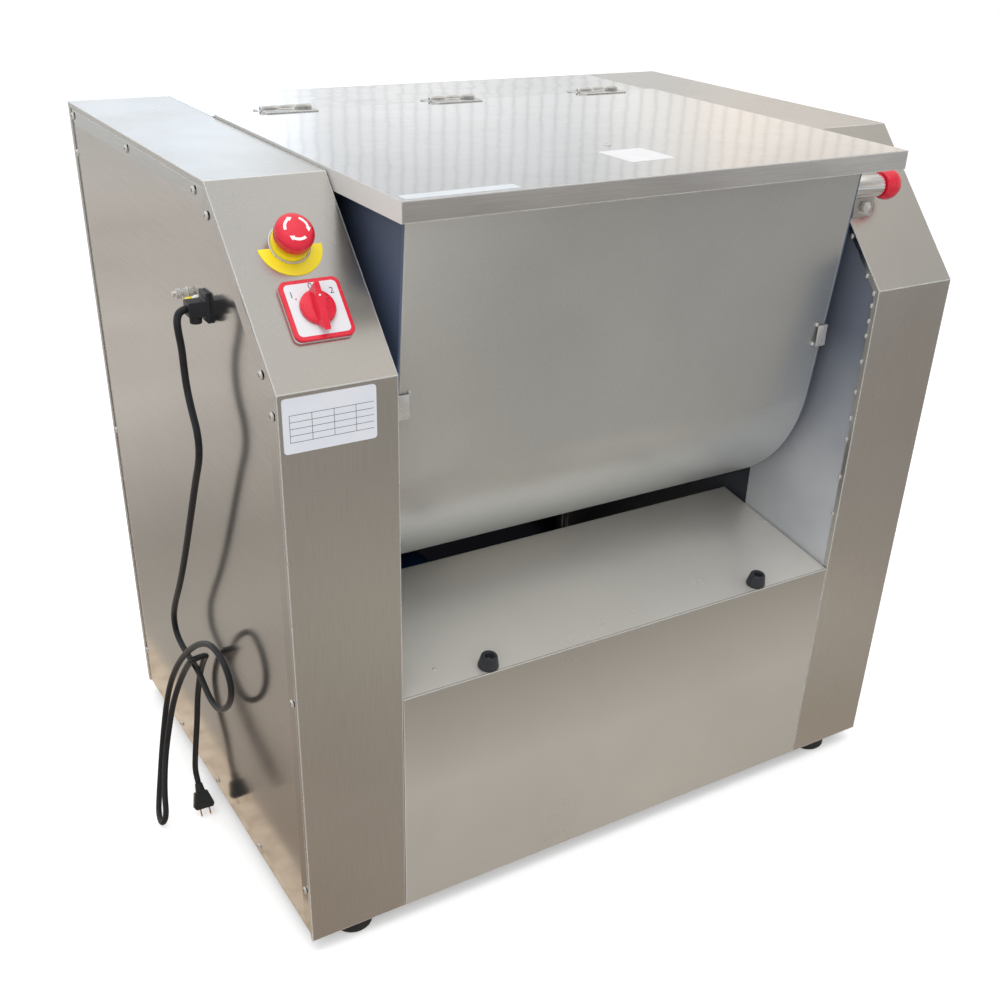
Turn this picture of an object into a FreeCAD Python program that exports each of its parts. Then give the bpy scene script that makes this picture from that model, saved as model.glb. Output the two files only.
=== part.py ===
"""Horizontal dough mixer: a tilting U-shaped trough between two sheet-metal cabinets.

X runs along the mixing shaft, +Y towards the back, +Z up.  The origin lies on the floor,
under the middle of the machine.  Lengths are in millimetres, angles in degrees.
"""
import FreeCAD, Part
import math
import os
import Sketcher

# Driving dimensions: name, value, what it is
DRIVING = [
    ("machine_width", 930, "over the two side panels"),
    ("cabinet_width", 129.5, "one cabinet, along the shaft"),
    ("cabinet_depth", 664, "front face to back face"),
    ("cabinet_front", -330, "Y of the front face"),
    ("cabinet_top", 908.5, "height of the cabinet tops"),
    ("foot_height", 24, "floor to the underside of the cabinets"),
    ("chamfer_run", 158.5, "depth of the sloping front top"),
    ("chamfer_drop", 166.5, "height of the sloping front top"),
    ("sheet", 1.5, "thickness of the stainless covers"),
    ("border", 24, "flange that the side panels are screwed to"),
    ("lip", 8, "return lip on the inner edge of a cabinet"),
    ("panel_gap", 3, "depth of the recess that a side panel lies in"),
    ("side_lip", 6, "how far a cabinet's sheet turns onto its side"),
    ("panel_bulge", 1.8, "how far the middle of a side panel is pressed out"),
    ("axis_y", -67, "trough and mixing shaft"),
    ("axis_drop", 296.5, "cabinet tops down to the trough and mixing shaft"),
    ("trough_radius", 198, "outside of the round trough bottom"),
    ("trough_sheet", 2, "thickness of the trough wall"),
    ("trough_gap", 25.5, "cabinet's inner face to the trough's end plate"),
    ("end_plate", 3, "thickness of an end plate"),
    ("wall_lean", 5.6, "how far each trough wall leans outwards"),
    ("rim_gap", 8, "underside of the lid to the trough's front rim"),
    ("rim_step", 28, "rear rim below the front rim"),
    ("shaft_dia", 50, "mixing shaft"),
    ("trunnion_dia", 80, "hollow journal of the trough"),
    ("running_gap", 0.05, "radial clearance of every running fit"),
    ("mix_radius", 178, "tip of the mixing arms"),
    ("bar_dia", 22, "mixing bars"),
    ("arm_end", 48, "end arm to the outside of the trough"),
    ("arm_stagger", 50, "turn from one arm to the next"),
    ("lid_gap", 2.5, "cabinet's inner face to the lid"),
    ("lid_front", -336, "Y of the lid's front flange"),
    ("lid_back", 5.5, "hinge pins to the lid's rear edge"),
    ("lid_rise", 3, "lid above the cabinet tops"),
    ("lid_flange", 21, "depth of the folded flanges"),
    ("hinge_y", 168, "hinge pins"),
    ("hinge_rise", 1.7, "hinge pins above the lid"),
    ("hinge_end", 95, "outer hinge to the lid's side"),
    ("hinge_width", 68, "one butt hinge"),
    ("knuckle_radius", 3.8, "hinge knuckle"),
    ("pin_dia", 4, "hinge pin"),
    ("leaf", 1.6, "thickness of a hinge leaf"),
    ("leaf_depth", 25, "knuckle to the edge of a leaf"),
    ("shelf_drop", 265.5, "shaft down to the shelf's front edge"),
    ("shelf_rise", 8, "slope of the shelf"),
    ("shelf_depth", 229, "front edge to rear edge, level"),
    ("bumper_height", 17, "rubber rests for the tipped trough"),
    ("bumper_side", 122.5, "cabinet's inner face to a bumper"),
    ("bumper_set_back", 13, "front face to the middle of a bumper"),
    ("rail", 40, "square tube of the base"),
    ("rail_wall", 3, "wall of the base tube"),
    ("wall_plate", 8, "steel plate that carries the bearings"),
    ("plate_inset", 10, "wall plate behind the cabinet's inner face"),
    ("cover_end", -148, "Y of the rear edge of the inner covers"),
    ("gear_module", 4, "main gear and pinion"),
    ("gear_teeth", 96, "main gear"),
    ("pinion_teeth", 12, "drive pinion"),
    ("profile_shift", 0.3, "profile shift of pinion and gear, in modules"),
    ("gear_face", 24, "width of the gear's teeth"),
    ("gear_out", 57.5, "cabinet's inner face to the gear's outer face"),
    ("pinion_angle", -61.8, "direction from main gear to pinion"),
    ("pinion_shaft_dia", 30, "intermediate shaft"),
    ("large_pulley_dia", 300, "pulley on the intermediate shaft"),
    ("small_pulley_dia", 66.7, "pulley on the motor"),
    ("pulley_face", 22, "width of both pulleys"),
    ("pulley_out", 96.5, "cabinet's inner face to the pulleys' outer face"),
    ("motor_y", 112, "motor shaft"),
    ("motor_z", 174, "motor shaft"),
    ("motor_radius", 84, "motor body without its fins"),
    ("motor_shaft_dia", 28, "motor shaft"),
    ("motor_length", 200, "motor body"),
    ("motor_foot", 40, "length of one motor foot"),
    ("fan_depth", 62, "fan cover"),
    ("sleeve_dia", 28, "tube of the trough latch"),
    ("plunger_dia", 18, "latch plunger"),
    ("latch_back", 70, "front face to the latch axis"),
    ("latch_drop", 54.5, "cabinet tops down to the latch axis"),
    ("knob_radius", 19, "ball on the latch plunger"),
    ("estop_out", 65.5, "cabinet's inner face to the emergency button"),
    ("estop_s", 77, "emergency button, down the slope"),
    ("switch_out", 61.5, "cabinet's inner face to the rotary switch"),
    ("switch_s", 150, "rotary switch, down the slope"),
    ("switch_size", 64, "square plate of the rotary switch"),
    ("gland_back", 182, "front face to the cable gland"),
    ("gland_drop", 130.5, "cabinet tops down to the cable gland"),
    ("cord_dia", 8, "mains lead"),
]

# Route of the mains lead: out of the gland, down the side panel, one loose loop, a fold
# that stands on the floor, and over the lead again to the plug.
CORD_ROUTE = [
    (-487, -148, 778),
    (-494, -149, 777.5),
    (-499, -151, 770),
    (-499, -152, 757),
    (-496, -148, 738),
    (-493.5, -140, 714),
    (-492.5, -139, 690),
    (-492, -147, 667),
    (-492, -160, 646),
    (-492, -158, 617),
    (-492, -133, 578),
    (-492, -102, 524),
    (-492, -70, 469),
    (-492, -42, 423),
    (-491.5, -13, 381),
    (-491, 18, 341),
    (-490.5, 38, 308),
    (-489.5, 36, 280),
    (-488, 4, 268),
    (-486.5, -31, 266),
    (-486, -54, 252),
    (-486, -78, 241),
    (-486, -109, 246),
    (-486.5, -143, 270),
    (-487, -168, 300),
    (-488, -176, 327),
    (-489.5, -163, 350),
    (-492, -130, 358),
    (-495, -92, 341),
    (-498, -49, 308),
    (-501.5, -8, 268),
    (-506, 26, 222),
    (-512, 43, 178),
    (-519, 47, 138),
    (-528, 44, 97),
    (-537, 37, 58),
    (-545, 29, 27),
    (-552, 16, 8),
    (-554, -6, 6),
    (-548, -13, 24),
    (-544, -2, 52),
    (-536, 12, 82),
    (-528, 20, 112),
    (-519, 22, 148),
    (-511, 18, 186),
    (-503, 6, 222),
    (-498.5, -12, 252),
    (-497, -33, 276),
    (-495.5, -48, 291),
    (-476.5, -49, 293),
    (-475.5, -32, 277),
    (-475.5, -12, 250),
    (-476, 4, 219),
    (-478.5, 12, 187),
    (-482, 14, 150),
    (-487, 15, 114),
    (-490, 18, 84),
    (-491, 20.5, 66),
    (-491.3, 18.5, 54),
    (-491.5, 12, 44),
]

doc = FreeCAD.newDocument("dough_mixer")
sheet = doc.addObject("Spreadsheet::Sheet", "Sizes")
for row, (alias, value, note) in enumerate(DRIVING, start=1):
    sheet.set(f"A{row}", note)
    sheet.set(f"B{row}", str(value))
    sheet.setAlias(f"B{row}", alias)
doc.recompute()


class Size:
    """A value in millimetres or degrees, with the sheet expression that it comes from."""

    def __init__(self, value, text):
        self.value = value
        self.text = text

    def __add__(self, other):
        other = size(other)
        return Size(self.value + other.value, f"({self.text} + {other.text})")

    def __radd__(self, other):
        return size(other) + self

    def __sub__(self, other):
        other = size(other)
        return Size(self.value - other.value, f"({self.text} - {other.text})")

    def __rsub__(self, other):
        return size(other) - self

    def __mul__(self, other):
        other = size(other)
        return Size(self.value * other.value, f"({self.text} * {other.text})")

    def __rmul__(self, other):
        return size(other) * self

    def __truediv__(self, other):
        other = size(other)
        return Size(self.value / other.value, f"({self.text} / {other.text})")

    def __neg__(self):
        return Size(-self.value, f"(0 - {self.text})")


def size(number):
    """A plain number as a Size."""
    if isinstance(number, Size):
        return number
    return Size(float(number), f"({float(number):.6f})")


def dim(alias):
    """One driving dimension from the sheet."""
    return Size(float(sheet.get(alias)), "Sizes." + alias)


def sine(angle):
    return Size(math.sin(math.radians(angle.value)), f"sin({angle.text})")


def cosine(angle):
    return Size(math.cos(math.radians(angle.value)), f"cos({angle.text})")


def tangent(angle):
    return Size(math.tan(math.radians(angle.value)), f"tan({angle.text})")


def slope_angle(rise, run):
    """Angle in degrees whose tangent is rise over run."""
    return Size(
        math.degrees(math.atan(rise.value / run.value)),
        f"(atan({rise.text} / {run.text}) / 1deg)",
    )


# Places that several pieces share, worked out from the driving dimensions
sheet_t = dim("sheet")
half_width = dim("machine_width") / 2
inner_x = half_width - dim("cabinet_width")
front = dim("cabinet_front")
back = front + dim("cabinet_depth")
bottom = dim("foot_height")
top = dim("cabinet_top")
chamfer_low = top - dim("chamfer_drop")
chamfer_back = front + dim("chamfer_run")
chamfer_angle = slope_angle(dim("chamfer_drop"), dim("chamfer_run"))
panel_inset = dim("side_lip") + 1.5
axis_y = dim("axis_y")
axis_z = top - dim("axis_drop")
trough_half = inner_x - dim("trough_gap")
lid_half = inner_x - dim("lid_gap")
lid_top = top + dim("lid_rise")
hinge_z = lid_top + dim("hinge_rise")
hinge_pitch = lid_half - dim("hinge_end")
front_rim = lid_top - dim("sheet") - dim("rim_gap") - axis_z
rear_rim = front_rim - dim("rim_step")
arm_spacing = trough_half - dim("arm_end")
shelf_front = axis_z - dim("shelf_drop")
shelf_back = front + dim("shelf_depth")
shelf_angle = dim("shelf_rise")
bumper_y = front + dim("bumper_set_back")
gear_x = -(inner_x + dim("gear_out"))
pulley_x = -(inner_x + dim("pulley_out"))
latch_y = front + dim("latch_back")
latch_z = top - dim("latch_drop")
estop_x = -(inner_x + dim("estop_out"))
switch_x = -(inner_x + dim("switch_out"))
gland_y = front + dim("gland_back")
gland_z = top - dim("gland_drop")
running_gap = dim("running_gap")

AXES = {
    "X": FreeCAD.Rotation(FreeCAD.Vector(0, 0, 1), FreeCAD.Vector(1, 0, 0)),
    "Y": FreeCAD.Rotation(FreeCAD.Vector(0, 0, 1), FreeCAD.Vector(0, 1, 0)),
    "Z": FreeCAD.Rotation(),
}
PLANES = {"XY": "XY_Plane", "XZ": "XZ_Plane", "YZ": "YZ_Plane"}
nodes = []


def bind(obj, prop, value):
    obj.setExpression(prop, size(value).text)


def place(obj, corner, rotation=None):
    """Put an object at a corner or centre whose coordinates follow the sheet."""
    corner = [size(c) for c in corner]
    point = FreeCAD.Vector(*[c.value for c in corner])
    obj.Placement = FreeCAD.Placement(point, rotation or FreeCAD.Rotation())
    for letter, c in zip("xyz", corner):
        obj.setExpression(f".Placement.Base.{letter}", c.text)


def block(corner, lengths):
    """A box from its low corner and its three lengths."""
    box = doc.addObject("Part::Box", "Block")
    for prop, length in zip(("Length", "Width", "Height"), lengths):
        bind(box, prop, length)
    place(box, corner)
    return box


def rod(start, direction, length, radius):
    """A cylinder from the centre of its first face along X, Y or Z."""
    cylinder = doc.addObject("Part::Cylinder", "Rod")
    bind(cylinder, "Radius", radius)
    bind(cylinder, "Height", length)
    place(cylinder, start, AXES[direction])
    return cylinder


def taper(start, direction, length, first_radius, last_radius):
    """A cone frustum along X, Y or Z."""
    cone = doc.addObject("Part::Cone", "Taper")
    bind(cone, "Radius1", first_radius)
    bind(cone, "Radius2", last_radius)
    bind(cone, "Height", length)
    place(cone, start, AXES[direction])
    return cone


def ball(centre, radius):
    sphere = doc.addObject("Part::Sphere", "Ball")
    bind(sphere, "Radius", radius)
    place(sphere, centre)
    return sphere


def cut(base, tools):
    """Take the tools away from the base."""
    tools = [tools] if not isinstance(tools, list) else tools
    result = doc.addObject("Part::Cut", "Cut")
    result.Base = base
    result.Tool = tools[0] if len(tools) == 1 else fuse(tools)
    return result


def fuse(pieces):
    result = doc.addObject("Part::MultiFuse", "Joined")
    result.Shapes = pieces
    return result


def group(pieces):
    """Separate solids that share one node."""
    result = doc.addObject("Part::Compound", "Group")
    result.Links = pieces
    return result


def node(label, obj):
    obj.Label = label
    nodes.append(obj)
    return obj


def solid(shape):
    """A shape worked out by formula, kept as it is."""
    feature = doc.addObject("Part::Feature", "Form")
    feature.Shape = shape
    return feature


def sketch_on(body, plane):
    """An empty sketch on one of the body's own origin planes."""
    sketch = body.newObject("Sketcher::SketchObject", "Outline")
    origin = [f for f in body.Origin.OriginFeatures if f.Role == PLANES[plane]][0]
    sketch.AttachmentSupport = [(origin, "")]
    sketch.MapMode = "FlatFace"
    return sketch


def fix_point(sketch, line, end, point):
    """Hold one end of a line at coordinates that follow the sheet."""
    for kind, value in zip(("DistanceX", "DistanceY"), point):
        index = sketch.addConstraint(Sketcher.Constraint(kind, line, end, value.value))
        sketch.setExpression(f"Constraints[{index}]", value.text)


def polygon(sketch, points):
    """A closed outline whose corners follow the sheet."""
    points = [(size(a), size(b)) for a, b in points]
    count = len(points)
    for i, (a, b) in enumerate(points):
        c, d = points[(i + 1) % count]
        start = FreeCAD.Vector(a.value, b.value, 0)
        end = FreeCAD.Vector(c.value, d.value, 0)
        sketch.addGeometry(Part.LineSegment(start, end), False)
    for i in range(count):
        sketch.addConstraint(Sketcher.Constraint("Coincident", i, 2, (i + 1) % count, 1))
    for i, point in enumerate(points):
        fix_point(sketch, i, 1, point)


def prism(plane, points, depth, corner=(0, 0, 0), rotation=None):
    """A body padded from a closed outline.

    Outlines on XY pad up, outlines on YZ pad along +X, outlines on XZ pad towards the front.
    """
    body = doc.addObject("PartDesign::Body", "Body")
    sketch = sketch_on(body, plane)
    polygon(sketch, points)
    pad = body.newObject("PartDesign::Pad", "Pad")
    pad.Profile = sketch
    bind(pad, "Length", depth)
    body.Tip = pad
    place(body, corner, rotation)
    return body


def lathe(points, centre, direction):
    """A body turned about its own Z axis from an outline of (radius, height) points."""
    body = doc.addObject("PartDesign::Body", "Body")
    sketch = sketch_on(body, "XZ")
    polygon(sketch, points)
    turn = body.newObject("PartDesign::Revolution", "Turned")
    turn.Profile = sketch
    turn.ReferenceAxis = (sketch, ["V_Axis"])
    turn.Angle = 360
    body.Tip = turn
    rotation = direction if isinstance(direction, FreeCAD.Rotation) else AXES[direction]
    place(body, centre, rotation)
    return body


def mirror_x(side, low, length):
    """Low X of a piece that starts at distance low from the middle plane, on either side."""
    return size(low) if side > 0 else -(size(low) + length)


# Cabinets


def cabinet_outline(inset, bottom_inset=None, back_inset=None):
    """Side view of a cabinet, shrunk by an inset that keeps the slope parallel."""
    inset = size(inset)
    low = bottom + (inset if bottom_inset is None else size(bottom_inset))
    rear = back - (inset if back_inset is None else size(back_inset))
    at_front = tangent((90 - chamfer_angle) / 2) * inset
    at_top = tangent(chamfer_angle / 2) * inset
    return [
        (front + inset, low),
        (rear, low),
        (rear, top - inset),
        (chamfer_back + at_top, top - inset),
        (front + inset, chamfer_low - at_front),
    ]


def on_slope(down, height):
    """Y and Z of a point on the sloping front top, down the slope and off its surface."""
    y = chamfer_back - cosine(chamfer_angle) * down - sine(chamfer_angle) * height
    z = top - sine(chamfer_angle) * down + cosine(chamfer_angle) * height
    return y, z


def slope_rotation():
    """Turns +Z to stand square on the sloping front top."""
    angle = chamfer_angle.value
    return FreeCAD.Rotation(FreeCAD.Vector(1, 0, 0), angle)


def slope_place(obj, x, down, height):
    y, z = on_slope(size(down), size(height))
    place(obj, (x, y, z), slope_rotation())
    obj.setExpression(".Placement.Rotation.Angle", chamfer_angle.text)
    return obj


def cabinet_shell(side):
    """Front, slope, top and back in one bent sheet, with a flange for the side panel."""
    width = dim("cabinet_width")
    low_x = mirror_x(side, inner_x, width)
    beyond = -10
    outside = prism("YZ", cabinet_outline(0), width, (low_x, 0, 0))
    hollow_x = mirror_x(side, inner_x + sheet_t, width - sheet_t - dim("panel_gap") - sheet_t)
    hollow = prism(
        "YZ",
        cabinet_outline(sheet_t, beyond),
        width - sheet_t * 2 - dim("panel_gap"),
        (hollow_x, 0, 0),
    )
    mouth_x = mirror_x(side, inner_x - 1, sheet_t + 2)
    mouth = prism("YZ", cabinet_outline(dim("lip"), beyond), sheet_t + 2, (mouth_x, 0, 0))
    outer_face = half_width - dim("panel_gap") - sheet_t * 2
    window_x = mirror_x(side, outer_face, sheet_t * 2 + dim("panel_gap") + 1)
    window = prism(
        "YZ",
        cabinet_outline(dim("border")),
        sheet_t * 2 + dim("panel_gap") + 1,
        (window_x, 0, 0),
    )
    recess_x = mirror_x(side, half_width - dim("panel_gap"), dim("panel_gap") + 1)
    recess = prism(
        "YZ", cabinet_outline(dim("side_lip"), beyond), dim("panel_gap") + 1, (recess_x, 0, 0)
    )
    notch_x = mirror_x(side, inner_x - 1, sheet_t + 2)
    notch_size = (sheet_t + 2, dim("lip"), dim("rail") + 1.5)
    tools = [hollow, mouth, window, recess]
    for low_y in (front + sheet_t + 0.2, back - sheet_t - 0.2 - dim("lip")):
        tools.append(block((notch_x, low_y, bottom - 1), notch_size))
    if side < 0:
        button_hole = rod((0, 0, 0), "Z", 30, 11)
        tools.append(slope_place(button_hole, estop_x, dim("estop_s"), -15))
        switch_hole = rod((0, 0, 0), "Z", 30, 14)
        tools.append(slope_place(switch_hole, switch_x, dim("switch_s"), -15))
    return cut(outside, tools)


def side_panel(side):
    """Screwed side cover, with its middle pressed out and a sloping border."""
    bulge = dim("panel_bulge")
    edge = sheet_t * 2 - bulge
    low_x = mirror_x(side, half_width - sheet_t * 2, sheet_t * 2)
    outline = cabinet_outline(panel_inset, dim("panel_gap"))
    plate = prism("YZ", outline, edge, (0, 0, 0))
    body = doc.addObject("PartDesign::Body", "Body")
    wide = sketch_on(body, "YZ")
    polygon(wide, outline)
    narrow = sketch_on(body, "YZ")
    polygon(narrow, cabinet_outline(dim("border")))
    narrow.AttachmentOffset = FreeCAD.Placement(
        FreeCAD.Vector(0, 0, side * bulge.value), FreeCAD.Rotation()
    )
    narrow.setExpression(".AttachmentOffset.Base.z", (bulge * side).text)
    loft = body.newObject("PartDesign::AdditiveLoft", "Field")
    loft.Profile = wide
    loft.Sections = [narrow]
    loft.Ruled = True
    body.Tip = loft
    if side > 0:
        place(plate, (low_x, 0, 0))
        place(body, (low_x + edge, 0, 0))
    else:
        place(plate, (low_x + bulge, 0, 0))
        place(body, (low_x + bulge, 0, 0))
    inside = cabinet_outline(dim("border") + 3)
    hollow_x = mirror_x(side, half_width - sheet_t * 2 - 1, bulge + 1)
    tools = [prism("YZ", inside, bulge + 1, (hollow_x, 0, 0))]
    if side < 0:
        tools.append(rod((-half_width - 5, gland_y, gland_z), "X", 20, 8))
    return cut(fuse([plate, body]), tools)


def wall_plate(side):
    """Steel plate inside a cabinet that stands on the base tubes and carries the bearings."""
    thick = dim("wall_plate")
    low_x = mirror_x(side, inner_x + dim("plate_inset"), thick)
    outline = cabinet_outline(12, dim("rail") + 0.3)
    plate = prism("YZ", outline, thick, (low_x, 0, 0))
    holes = [rod((low_x - 1, axis_y, axis_z), "X", thick + 2, dim("trunnion_dia") / 2 + 15)]
    if side < 0:
        py, pz = pinion_centre()
        holes.append(rod((low_x - 1, py, pz), "X", thick + 2, 31))
        holes.append(rod((low_x - 1, dim("motor_y"), dim("motor_z")), "X", thick + 2, 24))
    return cut(plate, holes)


def inner_cover(side):
    """Blasted sheet behind the cabinet's inner lip, in front of the trough's ends."""
    low_x = mirror_x(side, inner_x + sheet_t, sheet_t)
    lip = dim("lip") - 3
    at_front = tangent((90 - chamfer_angle) / 2) * lip
    at_top = tangent(chamfer_angle / 2) * lip
    rise = tangent(shelf_angle)
    under = 20
    outline = [
        (front + lip, shelf_front - under),
        (dim("cover_end"), shelf_front - under + rise * (dim("cover_end") - front)),
        (dim("cover_end"), top - lip),
        (chamfer_back + at_top, top - lip),
        (front + lip, chamfer_low - at_front),
    ]
    return prism("YZ", outline, sheet_t, (low_x, 0, 0))


def front_cover():
    """Front panel and sloping shelf, bent from one sheet."""
    rise = tangent(shelf_angle)
    gap = 1
    shelf_top_back = shelf_front + rise * dim("shelf_depth")
    flange = 24
    outline = [
        (front, bottom),
        (front + sheet_t, bottom),
        (front + sheet_t, shelf_front - sheet_t),
        (shelf_back - sheet_t, shelf_top_back - sheet_t * 1.2),
        (shelf_back - sheet_t, shelf_top_back - flange),
        (shelf_back, shelf_top_back - flange),
        (shelf_back, shelf_top_back),
        (front, shelf_front),
    ]
    length = (inner_x - gap) * 2
    return prism("YZ", outline, length, (-(inner_x - gap), 0, 0))


def rear_top_cover():
    """Fixed strip behind the lid, folded down in front and behind."""
    length = (inner_x - 1) * 2
    front_y = dim("hinge_y")
    outline = [
        (front_y, top),
        (front_y, top - 45),
        (front_y + sheet_t, top - 45),
        (front_y + sheet_t, top - sheet_t),
        (back - sheet_t * 2, top - sheet_t),
        (back - sheet_t * 2, top - 22),
        (back - sheet_t, top - 22),
        (back - sheet_t, top),
    ]
    return prism("YZ", outline, length, (-(inner_x - 1), 0, 0))


def back_panel():
    """Sheet across the back between the cabinets, with rows of cooling slots."""
    width = (inner_x - 1) * 2
    corner = (-(inner_x - 1), back - sheet_t, bottom)
    plate = block(corner, (width, sheet_t, top - bottom))
    slots = []
    for column in range(2):
        for row_number in range(6):
            x = 105.5 - inner_x + column * 130
            z = bottom + 90 + row_number * 18
            slots.append(block((x, back - 5, z), (100, 10, 5)))
    return cut(plate, slots)


def panel_screws():
    """Pan-head screws round both side panels and down the back."""
    heads = []
    bulge = dim("panel_bulge")
    for side in (-1, 1):
        for y, z, inset in border_points():
            sunk = bulge * (dim("border") - inset) / (dim("border") - panel_inset)
            face = half_width - sunk + 0.45
            low_x = face if side > 0 else -(face + 2.5)
            radii = (4.8, 2.8) if side > 0 else (2.8, 4.8)
            heads.append(taper((low_x, y, z), "X", 2.5, *radii))
    for x in (-1, 1):
        edge = (inner_x - 12) * x
        low, high = bottom + 87, top - 33.5
        for k in range(4):
            heads.append(taper((edge, back, low + (high - low) * k / 3), "Y", 2, 4.6, 2.6))
    return group(heads)


def border_points():
    """Y, Z and distance from the edge of each side screw, clockwise from the top rear."""
    side = size(15)
    slope = size(20)
    low = size(21)
    first = back - side - 3
    last = chamfer_back + 31.5
    points = [(y, top - side, side) for y in (first, (first + last) / 2, last)]
    length = dim("chamfer_run") / cosine(chamfer_angle)
    for down in (25.7, length - 31.7):
        y, z = on_slope(size(down), -slope)
        points.append((y, z, slope))
    for z in (chamfer_low - 26, (chamfer_low + bottom) / 2 - 6, bottom + 74):
        points.append((front + side, z, side))
    for y in (back - 174, (front + back) / 2 + 2, front + 174):
        points.append((y, bottom + low, low))
    for z in (bottom + 64, (top + bottom) / 2, top - 60):
        points.append((back - side, z, side))
    return points


# Base frame


def square_tube(start, direction, length):
    """Hollow square tube whose low corner is at start."""
    side, wall = dim("rail"), dim("rail_wall")
    core = side - wall * 2
    if direction == "X":
        outer = block(start, (length, side, side))
        hollow = block((start[0] - 1, start[1] + wall, start[2] + wall), (length + 2, core, core))
    else:
        outer = block(start, (side, length, side))
        hollow = block((start[0] + wall, start[1] - 1, start[2] + wall), (core, length + 2, core))
    return cut(outer, hollow)


def base_frame():
    rail = dim("rail")
    reach = half_width - dim("panel_gap") - sheet_t * 3
    front_y = front + sheet_t + 0.5
    back_y = back - sheet_t - rail - 0.5
    node("front_rail", square_tube((-reach, front_y, bottom), "X", reach * 2))
    node("rear_rail", square_tube((-reach, back_y, bottom), "X", reach * 2))
    between = back_y - front_y - rail
    sides = [
        square_tube((x, front_y + rail, bottom), "Y", between)
        for x in (-reach, reach - rail)
    ]
    node("side_rails", group(sides))
    rails = []
    for x in motor_feet_x():
        size_of = (dim("motor_foot"), between, motor_seat() - bottom)
        rails.append(block((x, front_y + rail, bottom), size_of))
    node("motor_rails", group(rails))


def feet():
    """Turned rubber feet under the four corners."""
    pieces = []
    for x in (-1, 1):
        for y in (front + 32, back - 32):
            outline = [(0, 0), (23, 0), (26, 4), (24, 24), (0, 24)]
            foot = lathe(outline, ((half_width - 68) * x, y, 0), "Z")
            pieces.append(foot)
    return group(pieces)


# Trough


def trough_profile(sketch, inset, front_height, rear_height):
    """Round bottom with two leaning walls, closed along the rims, about the shaft axis."""
    radius = dim("trough_radius") - inset
    lean = dim("wall_lean")

    def wall_point(direction, height):
        reach = (radius + sine(lean) * height) / cosine(lean)
        return (reach * direction, size(height))

    front_top = wall_point(-1, front_height)
    rear_top = wall_point(1, rear_height)
    touch = [radius * cosine(lean), -(radius * sine(lean))]
    front_low = (-touch[0], touch[1])
    rear_low = (touch[0], touch[1])
    lines = [(rear_low, rear_top), (rear_top, front_top), (front_top, front_low)]
    for a, b in lines:
        start = FreeCAD.Vector(a[0].value, a[1].value, 0)
        end = FreeCAD.Vector(b[0].value, b[1].value, 0)
        sketch.addGeometry(Part.LineSegment(start, end), False)
    low, high = math.pi + math.radians(lean.value), 2 * math.pi - math.radians(lean.value)
    circle = Part.Circle(FreeCAD.Vector(0, 0, 0), FreeCAD.Vector(0, 0, 1), radius.value)
    arc = sketch.addGeometry(Part.ArcOfCircle(circle, low, high), False)
    sketch.addConstraint(Sketcher.Constraint("Coincident", arc, 3, -1, 1))
    sketch.addConstraint(Sketcher.Constraint("Coincident", 0, 2, 1, 1))
    sketch.addConstraint(Sketcher.Constraint("Coincident", 1, 2, 2, 1))
    sketch.addConstraint(Sketcher.Constraint("Coincident", 2, 2, arc, 1))
    sketch.addConstraint(Sketcher.Constraint("Coincident", 0, 1, arc, 2))
    fix_point(sketch, 0, 1, rear_low)
    fix_point(sketch, 1, 1, rear_top)
    fix_point(sketch, 2, 1, front_top)
    last = sketch.addConstraint(Sketcher.Constraint("DistanceX", 2, 2, front_low[0].value))
    sketch.setExpression(f"Constraints[{last}]", front_low[0].text)


def trough_block(inset, front_height, rear_height, low_x, length):
    body = doc.addObject("PartDesign::Body", "Body")
    sketch = sketch_on(body, "YZ")
    trough_profile(sketch, inset, front_height, rear_height)
    pad = body.newObject("PartDesign::Pad", "Pad")
    pad.Profile = sketch
    bind(pad, "Length", length)
    body.Tip = pad
    place(body, (low_x, axis_y, axis_z))
    return body


def trough_shell():
    """U-shaped sheet with a hem folded outwards along each rim."""
    wall = dim("trough_sheet")
    inner = trough_half - dim("end_plate")
    outside = trough_block(0, front_rim, rear_rim, -inner, inner * 2)
    inside = trough_block(
        wall, front_rim + 5, rear_rim + 5, -inner - 1, inner * 2 + 2
    )
    band = cut(outside, inside)
    lean = dim("wall_lean")
    hems = []
    for direction, rim in ((-1, front_rim), (1, rear_rim)):
        reach = (dim("trough_radius") + sine(lean) * rim) / cosine(lean)
        low_y = axis_y + (-reach - 6 if direction < 0 else reach - 1)
        hems.append(block((-inner, low_y, axis_z + rim - 3), (inner * 2, 7, 3)))
    return fuse([band] + hems)


def trough_end(side):
    """End plate with the hollow journal that the trough tips about."""
    plate = dim("end_plate")
    low_x = mirror_x(side, trough_half - plate, plate)
    sheet_plate = trough_block(0, front_rim, rear_rim, low_x, plate)
    hub_length = inner_x + dim("plate_inset") + dim("wall_plate") + 8 - trough_half
    hub_x = mirror_x(side, trough_half, hub_length)
    journal = rod((hub_x, axis_y, axis_z), "X", hub_length, dim("trunnion_dia") / 2)
    boss_x = mirror_x(side, trough_half, 8)
    boss = taper((boss_x, axis_y, axis_z), "X", 8, 62, 62)
    pieces = [sheet_plate, journal, boss]
    bore = dim("shaft_dia") / 2 + running_gap
    bore_x = mirror_x(side, trough_half - plate - 1, hub_length + plate + 2)
    tools = [rod((bore_x, axis_y, axis_z), "X", hub_length + plate + 2, bore)]
    if side > 0:
        hole_radius = dim("plunger_dia") / 2 + 0.6
        start = (trough_half - plate - 1, latch_y, latch_z)
        tools.append(rod(start, "X", plate + 7, hole_radius))
    return cut(fuse(pieces), tools)


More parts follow.
